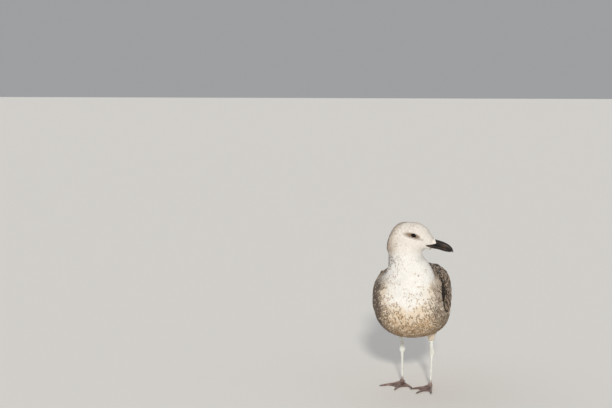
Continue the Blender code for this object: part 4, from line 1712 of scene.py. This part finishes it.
    def build(self) -> None:
        """Makes the core and each group of feathers."""
        self.core()
        for name, rows in self.rows().items():
            total = sum(row.count for row in rows)
            across = int(np.ceil(np.sqrt(total)))
            cells = iter(range(total))

            def cell(count: int) -> tuple[Rows, Rows]:
                """The next places on the bake map, laid out as the rows are."""
                numbers = np.array([next(cells) for _ in range(count)])
                spots = np.column_stack([numbers % across, numbers // across]) + 0.5
                return spots / across, np.full((count, 2), 0.86 / across)

            placed(self.side.of(name), joined([self.laid(row, cell) for row in rows]), self.look, "wing")


@dataclass
class Tail:
    """Twelve tail feathers, roofed along the middle; its heights are how far back and how high."""

    look: Look
    heights: Table = ((128, 193), (150, 189), (180, 183), (215, 176.5), (250, 170.5), (268, 168))
    roof: float = 0.16
    thick: float = 0.5
    pale: Colour = (0.74, 0.71, 0.66)
    dark: Colour = (0.045, 0.037, 0.032)
    blade: Blade = Blade(14, 6, (0.4, 0.7, 0.85, 0.95, 1.0, 1.0, 0.98, 0.9, 0.62), tip_round=0.06)
    seed: int = 77

    def build(self) -> None:
        """Lays the feathers from the lowest pair up."""
        rng = np.random.default_rng(self.seed)
        mould = self.blade.mould()
        t, s = mould.along, mould.across
        batches = []
        for pair in range(5, -1, -1):
            for sign in (-1, 1):
                fan = sign * (1.2 + 2.5 * pair)
                y = 132 + (134 - 2.2 * pair) * (t - mould.round_off)
                x = sign * 1.5 * (pair > 0) + fan * (0.25 + 0.75 * t) + 11.5 * mould.width * s
                z = read_off(self.heights, y) - self.roof * np.abs(x) - 0.42 * pair - 0.25 * (sign > 0)
                z = z - self.thick * mould.swell - 0.3
                points = (np.column_stack([x, y, z]) * MM + ORIGIN)[None]
                ground = np.array([self.pale]) * (0.9 + 0.2 * rng.random(1))[:, None]
                mark = np.array([(*self.dark, 1.3)])
                style = np.array([[0.0, 0.0, 0.06, rng.random()]])
                number = pair * 2 + (sign > 0)
                home = np.array([[number % 4 + 0.5, number // 4 + 0.5]]) / 4
                patch = np.full((1, 2), 0.21)
                batches.append(Batch(points, mould.quads, mould.vane(), ground, mark, style, home, patch))
        placed("tail_feathers", joined(batches), self.look, "tail", "tail")


# Bill, eyes, legs and claws


BILL_BASE = 42
BILL_TIP = 100


def paint_horn(mesh: Mesh, nostril_shade: Rows, low: Rows) -> None:
    """Stores what the horn's finish reads.

    Args:
        mesh: A piece of the bill.
        nostril_shade: How deep in the nostril each vertex is, from 0 to 1.
        low: How far down, towards the browner base, from 0 to 1.
    """
    ahead = ANATOMY.head_places(corners(mesh))[:, 0] - BILL_BASE
    forward = np.clip(ahead / (BILL_TIP - BILL_BASE), 0, 1)
    paint(mesh, "along", np.column_stack([forward, nostril_shade, forward, low]))


@dataclass
class Bill:
    """The two halves of the bill, and the dark corners of the mouth.

    Each station of a half is how far forward it is, its top, its bottom and its half width, in
    millimetres on the head's own axes.
    """

    upper: Stations = (
        (38, 8.5, -2.0, 4.6),
        (46, 12.6, -0.9, 6.6),
        (54, 13.7, 0.9, 6.6),
        (64, 13.9, 1.9, 6.0),
        (73, 13.5, 2.0, 5.5),
        (81, 12.4, 1.6, 5.0),
        (88, 10.3, 0.4, 4.2),
        (94, 7.0, -1.2, 3.2),
        (98, 3.0, -2.6, 2.0),
        (99.8, 0.1, -2.9, 0.9),
    )
    lower: Stations = (
        (38, -2.4, -5.8, 3.4),
        (46, -1.1, -6.6, 5.4),
        (54, 0.8, -5.9, 5.4),
        (64, 1.9, -5.0, 4.8),
        (73, 2.0, -4.9, 4.4),
        (81, 1.6, -5.2, 3.9),
        (88, 0.4, -4.6, 3.1),
        (93, -1.1, -3.9, 2.0),
        (95, -2.0, -3.4, 1.0),
    )
    sides: int = 72
    steps: int = 80
    nostril_at: tuple[float, float] = (70.5, 7.6)
    round_power: float = 1.9
    square_power: float = 4.0

    def half(self, name: str, stations: Stations, over: float, under: float) -> None:
        """Makes one half of the bill from rings along the head's axis.

        Args:
            name: The node it stands for; the piece's name is this and _horn.
            stations: Its sizes along it.
            over: How square its upper side is; 2 is an ellipse.
            under: How square its lower side is.
        """
        table = np.array(stations)
        padded = np.vstack([2 * table[0] - table[1], table, 2 * table[-1] - table[-2]])
        rows = []
        for mark in np.linspace(0, len(table) - 1, self.steps):
            i = min(int(mark), len(table) - 2)
            t = mark - i
            before, start, end, after = padded[i : i + 4]
            bend = 2 * before - 5 * start + 4 * end - after
            twist = 3 * start - before - 3 * end + after
            rows.append(start + 0.5 * t * (end - before + t * (bend + t * twist)))
        rings = []
        for u, top, bottom, width in rows:
            ring = []
            for k in range(self.sides):
                turn = 2 * pi * k / self.sides
                power = 2 / (over if sin(turn) > 0 else under)
                left = width * abs(cos(turn)) ** power * (1 if cos(turn) > 0 else -1)
                up = (top - bottom) / 2 * abs(sin(turn)) ** power * (1 if sin(turn) > 0 else -1)
                up += (top + bottom) / 2
                if name == "bill_upper":
                    ahead, above = u - self.nostril_at[0], up - self.nostril_at[1]
                    slot = np.exp(-((ahead / 3.4) ** 4) - (above / 0.7) ** 2)
                    rim = np.exp(-((ahead / 5.5) ** 2) - ((above - 1.5) / 1.2) ** 2)
                    left *= 1 - 0.13 * slot + 0.04 * rim
                ring.append(ANATOMY.from_head(u, left, up))
            rings.append(ring)
        mesh = as_mesh(ringed(rings))
        u, _, w = ANATOMY.head_places(corners(mesh)).T
        ahead, above = u - self.nostril_at[0], w - self.nostril_at[1]
        # Painted shade: how far into the nostril's opening each vertex is, which the finish paints near
        # black.
        nostril_shade = np.exp(-((ahead / 3.7) ** 4) - (above / 1.1) ** 2) * (name == "bill_upper")
        paint_horn(mesh, nostril_shade, eased(7, 0, w))
        mesh.set_sharp_from_angle(angle=radians(55))
        placed(name + "_horn", mesh, BillFinish().material(), "bill", name)

    def build(self, bed: Bed) -> None:
        """Makes both halves and the mouth's corners."""
        self.half("bill_upper", self.upper, self.round_power, self.square_power)
        self.half("bill_lower", self.lower, self.square_power, self.round_power)
        for side in Side:
            MOUTH.build(bed, side)


@dataclass(frozen=True)
class Mouth:
    """The horn that runs back from the bill into the face, and the edge of the feathers round it.

    Places are (forward, up) on the head's own axes, in millimetres.
    """

    corner: float = 43.4
    over: Table = (
        (43.4, -1.0), (47, 0.2), (50.7, 1.5), (57.1, 4.4), (62, 6.8), (66, 13)
    )
    under: Table = (
        (43.4, -1.4), (46, -1.9), (50, -2.6), (53, -3.2), (56, -3.8), (66, -4.0)
    )
    line: Table = ((43.4, -1.2), (47, -0.9), (54, 0.4), (60, 1.5), (66, 1.9))
    edge: Table = (
        (54.5, -12), (54.0, -7.4), (51.8, -5.4), (53, -3.6), (60, -3.4),
        (58.0, 4.6), (62.4, 7.6), (60.5, 10.5), (57.2, 13.6), (56.4, 16),
    )
    ahead: float = 61.5
    columns: int = 26
    rows: int = 14

    def edges(self, u: Rows) -> tuple[Rows, Rows]:
        """The lower and upper edges of the horn at each place forward."""
        return read_off(self.under, u), read_off(self.over, u)

    def front(self, w: Rows) -> Rows:
        """How far forward the feathers reach at each height."""
        return read_off(tuple((up, forward) for forward, up in self.edge), w)

    def build(self, bed: Bed, side: Side) -> None:
        """Lays the horn on the face, with the line of the mouth pressed into it.

        Args:
            bed: The surface of the face.
            side: Which side of the face.
        """
        outward = ANATOMY.head_axis(0, side.value, 0)
        form = bmesh.new()
        bmesh.ops.create_grid(form, x_segments=self.columns, y_segments=self.rows, size=1.0)
        for vertex in form.verts:
            share, across = (vertex.co.x + 1) / 2, vertex.co.y
            u = self.corner + (self.ahead - self.corner) * share
            low, high = (float(value[0]) for value in self.edges(np.array([u])))
            w = (low + high) / 2 + (high - low + 0.5) / 2 * across
            crease = np.exp(-(((w - read_off(self.line, u)) / 0.42) ** 2))
            proud = 0.55 * (1 - across**4) * min(share * 4, 1) - 0.45 - 0.75 * crease * (1 - across**8)
            proud -= 2.2 * max(share - 0.7, 0) / 0.3
            hit = bed.tree.ray_cast(ANATOMY.from_head(u, side.value * 40, w), -outward)[0]
            hit = hit or ANATOMY.from_head(u, side.value * 4.5, w)
            vertex.co = hit + outward * (proud + 0.35) * MM
        bmesh.ops.solidify(form, geom=form.faces[:], thickness=1.2 * MM)
        bmesh.ops.recalc_face_normals(form, faces=form.faces)
        mesh = as_mesh(form)
        u, _, w = ANATOMY.head_places(corners(mesh)).T
        paint_horn(mesh, 0 * u, eased(1.5, -3.5, w) * eased(47, 52, u))
        placed(side.of("mouth_corner"), mesh, BillFinish().material(), "bill")


MOUTH = Mouth()


@dataclass
class Eye:
    """An eye and its lids, in millimetres.

    Each row of the lids' profile is their size against the opening, how much they follow the ball
    rather than the face, and how proud of either they stand.
    """

    side: Side
    opening: tuple[float, float] = (5.8, 3.9)
    ball: float = 6.4
    around: int = 56
    profile: tuple[Place, ...] = (
        (1.0, 1.0, -0.5), (0.98, 1.0, 0.15), (1.04, 1.0, 0.6), (1.12, 0.75, 0.6),
        (1.2, 0.35, 0.35), (1.36, 0.0, -0.35), (1.36, 0.0, -1.6), (1.12, 0.6, -1.6),
    )

    def build(self, bed: Bed) -> None:
        """Makes the eyeball and its lids.

        Args:
            bed: The surface of the face.
        """
        u, v, w = ANATOMY.gaze_at
        middle = ANATOMY.from_head(u, self.side.value * v, w)
        gaze = ANATOMY.head_axis(0.16, self.side.value, 0.06)
        form = bmesh.new()
        bmesh.ops.create_uvsphere(form, u_segments=48, v_segments=32, radius=self.ball * MM)
        form.transform(Matrix.Translation(middle) @ gaze.to_track_quat("Z", "Y").to_matrix().to_4x4())
        mesh = as_mesh(form)
        facing = (unit(corners(mesh) - np.array(middle)) * np.array(gaze)).sum(1)
        layer = mesh.attributes.new("gaze", "FLOAT", "POINT")
        layer.data.foreach_set("value", facing.astype(np.float32))
        placed(self.side.of("eyeball"), mesh, EyeFinish().material(), "eye", self.side.of("eye"))
        self.lids(bed, middle)

    def lids(self, bed: Bed, middle: Vector) -> None:
        """Makes the ring of bare lid round the eye's opening, from the ball to the feathers.

        Args:
            bed: The surface of the face.
            middle: The middle of the eyeball.
        """
        forward, up = ANATOMY.head_axis(1, 0, 0.05), ANATOMY.head_axis(-0.05, 0, 1)
        outward = ANATOMY.head_axis(0, self.side.value, 0)
        rings = []
        for scale, ball, proud in self.profile:
            ring = []
            for k in range(self.around):
                turn = 2 * pi * k / self.around
                wide = self.opening[0] * scale * (1 + 0.10 * max(cos(turn), 0) ** 6)
                high = self.opening[1] * (0.55 + 0.45 * scale if scale < 1 else 1 + 1.35 * (scale - 1))
                high *= 0.86 if sin(turn) > 0 else 1.0
                flat = forward * (wide * cos(turn)) + up * (high * sin(turn) - 0.2)
                over = (self.ball**2 - min(flat.length_squared, 38)) ** 0.5
                on_ball = middle + (flat + outward * (over + proud)) * MM
                hit = bed.tree.ray_cast(middle + (flat + outward * 30) * MM, -outward)[0] or on_ball
                on_face = hit + outward * (proud * MM)
                ring.append(on_ball * ball + on_face * (1 - ball))
            rings.append(ring)
        lids = as_mesh(ringed(rings, closed=True))
        placed(self.side.of("eyelid"), lids, BareSkinFinish().material(), "eye")


@dataclass
class Leg:
    """One bare leg and foot as one skin, with its scutes, and its claws."""

    side: Side
    look: Look
    claw_look: Look
    voxel: float = 0.62 * MM
    toes: tuple[str, ...] = ("outer", "middle", "inner")
    scute: float = 3.0
    scute_height: float = 0.16
    toe_scute: float = 2.3
    toe_scute_height: float = 0.14
    wrinkle: float = 0.10
    ankle_swell: float = 1.5

    def toe_ways(self) -> Rows:
        """The directions of the three toes, level with the floor, read from the claws' nodes."""
        joint = ANATOMY.joint("toes", self.side)
        boxes = [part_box(f"{self.side.of('claw')}_{toe}") for toe in self.toes]
        ways = np.array([(low + high) / 2 for low, high in boxes]) - joint
        return unit(ways * (1, 1, 0))

    def build(self) -> None:
        """Makes the leg's skin, raises its scutes and dresses its claws."""
        nodes = [self.side.of(part) for part in ("shin", "tarsus", "foot")]
        mesh = run_together(merged(nodes), self.voxel, 3)
        places, normals = corners(mesh), corners(mesh, "normal")
        z = places[:, 2] / MM
        on_leg = eased(9, 16, z)
        front = eased(0.1, 0.6, -normals[:, 1]) * on_leg * eased(70, 64, z)
        beat = np.abs(np.sin(pi * z / self.scute)) ** 0.4
        lift = self.scute_height * front * (beat - 0.75)
        # Painted shade: crease is where the surface dips between scutes, and the finish darkens it.
        crease = front * (1 - beat)
        ankle = np.linalg.norm(places - ANATOMY.joint("ankle", self.side), axis=1) / MM
        lift = lift + self.ankle_swell * eased(10.5, 3, ankle) * np.abs(normals[:, 0])
        lift = lift + 0.25 * eased(70, 66, z) * on_leg
        flat = (places - ANATOMY.joint("toes", self.side)) / MM
        ways = self.toe_ways()
        reach = flat @ ways.T
        aside = np.abs(flat[:, :1] * ways[:, 1] - flat[:, 1:2] * ways[:, 0])
        nearest = np.argmin(np.where(reach > 0, aside, 99), axis=1)
        rows = np.arange(len(places))
        along, off = reach[rows, nearest], aside[rows, nearest]
        toe = eased(3.4, 2.2, off) * eased(3, 7, along) * (1 - on_leg)
        toe_beat = np.abs(np.sin(pi * along / self.toe_scute)) ** 0.45
        lift = lift + self.toe_scute_height * toe * (toe_beat - 0.7) * eased(0.2, 0.7, normals[:, 2])
        crease = crease + toe * (1 - toe_beat)
        web = (1 - toe) * (1 - on_leg) * eased(2.6, 4.5, off) * eased(4, 9, along)
        wave = np.sin(along * 1.9 + 2.0 * np.sin(off * 0.8))
        lift = lift + self.wrinkle * wave * web * eased(0.3, 0.8, normals[:, 2])
        places = places + normals * (lift * MM)[:, None]
        set_corners(mesh, np.maximum(places, (-np.inf, -np.inf, 0)))
        # The foot attribute's channels: on the foot, painted shade in the creases, and web.
        paint(mesh, "foot", np.column_stack([1 - eased(8, 22, z), np.clip(crease, 0, 1), web]))
        placed(self.side.of("leg_skin"), mesh, self.look, "leg", *nodes)
        for toe in (*self.toes, "hind"):
            node = f"{self.side.of('claw')}_{toe}"
            claw = merged([node])
            claw.shade_smooth()
            made = placed(f"horn_{node}", claw, self.claw_look, "claw", node)
            round_off = made.modifiers.new("round", "SUBSURF")
            round_off.levels = round_off.render_levels = 2


# Studio


@dataclass(frozen=True)
class Sun:
    """A far, soft light: the way it comes from, its power, its breadth in degrees, its colour."""

    name: str
    way: Place
    power: float
    breadth: float
    colour: Colour

    def build(self) -> None:
        """Hangs the light."""
        light = bpy.data.lights.new(self.name, "SUN")
        light.energy, light.angle, light.color = self.power, radians(self.breadth), self.colour
        holder = bpy.data.objects.new(self.name, light)
        holder.rotation_euler = Vector(self.way).to_track_quat("Z", "Y").to_euler()
        bpy.context.scene.collection.objects.link(holder)


@dataclass
class Studio:
    """The camera, the lights and the floor; the camera's place is in metres, from the feet."""

    camera_at: Place = (0.5825, -2.5232, 0.66)
    heading: float = 18.36
    dip: float = 5.663
    lens: float = 70.0
    sky: Colour = (0.905, 0.92, 0.95)
    sky_strength: float = 0.38
    suns: tuple[Sun, ...] = (
        Sun("key", (0.27, -0.84, 0.36), 2.18, 5.0, (1.0, 0.96, 0.885)),
        Sun("fill", (-0.5, 0.7, 0.5), 0.75, 110.0, (0.94, 0.945, 0.95)),
    )
    floor_size: float = 60.0

    def build(self) -> None:
        """Sets the camera, lights, sky and floor."""
        scene = bpy.context.scene
        camera = bpy.data.objects.new("camera", bpy.data.cameras.new("camera"))
        camera.data.lens = self.lens
        camera.data.sensor_width = 36.0
        camera.data.clip_start = 0.01
        camera.location = Vector(self.camera_at) + Vector(ORIGIN)
        camera.rotation_euler = (radians(90 - self.dip), 0, radians(self.heading))
        scene.collection.objects.link(camera)
        scene.camera = camera
        for sun in self.suns:
            sun.build()
        scene.view_settings.view_transform = "Standard"
        world = bpy.data.worlds.new("studio")
        world.use_nodes = True
        backdrop = world.node_tree.nodes["Background"]
        backdrop.inputs[0].default_value = (*self.sky, 1)
        backdrop.inputs[1].default_value = self.sky_strength
        scene.world = world
        form = bmesh.new()
        bmesh.ops.create_grid(form, x_segments=8, y_segments=8, size=self.floor_size)
        floor = bpy.data.objects.new("floor", as_mesh(form))
        floor.data.materials.append(FloorFinish().material())
        scene.collection.objects.link(floor)


def main() -> None:
    """Builds the studio and the bird."""
    logging.basicConfig(level=logging.INFO, format="%(message)s")
    Studio().build()
    flesh = Flesh()
    flesh.build()
    vanes, core = FeatherFinish().material(), WingCoreFinish().material()
    Coat(flesh.bed, flesh.head_bed, vanes).build()
    for side in Side:
        Wing(side, core, vanes).build()
        Eye(side).build(flesh.head_bed)
    Tail(TailFinish().material()).build()
    Bill().build(flesh.head_bed)
    scales, horn = LegFinish().material(), ClawFinish().material()
    for side in Side:
        Leg(side, scales, horn).build()


if __name__ == "__main__":
    main()
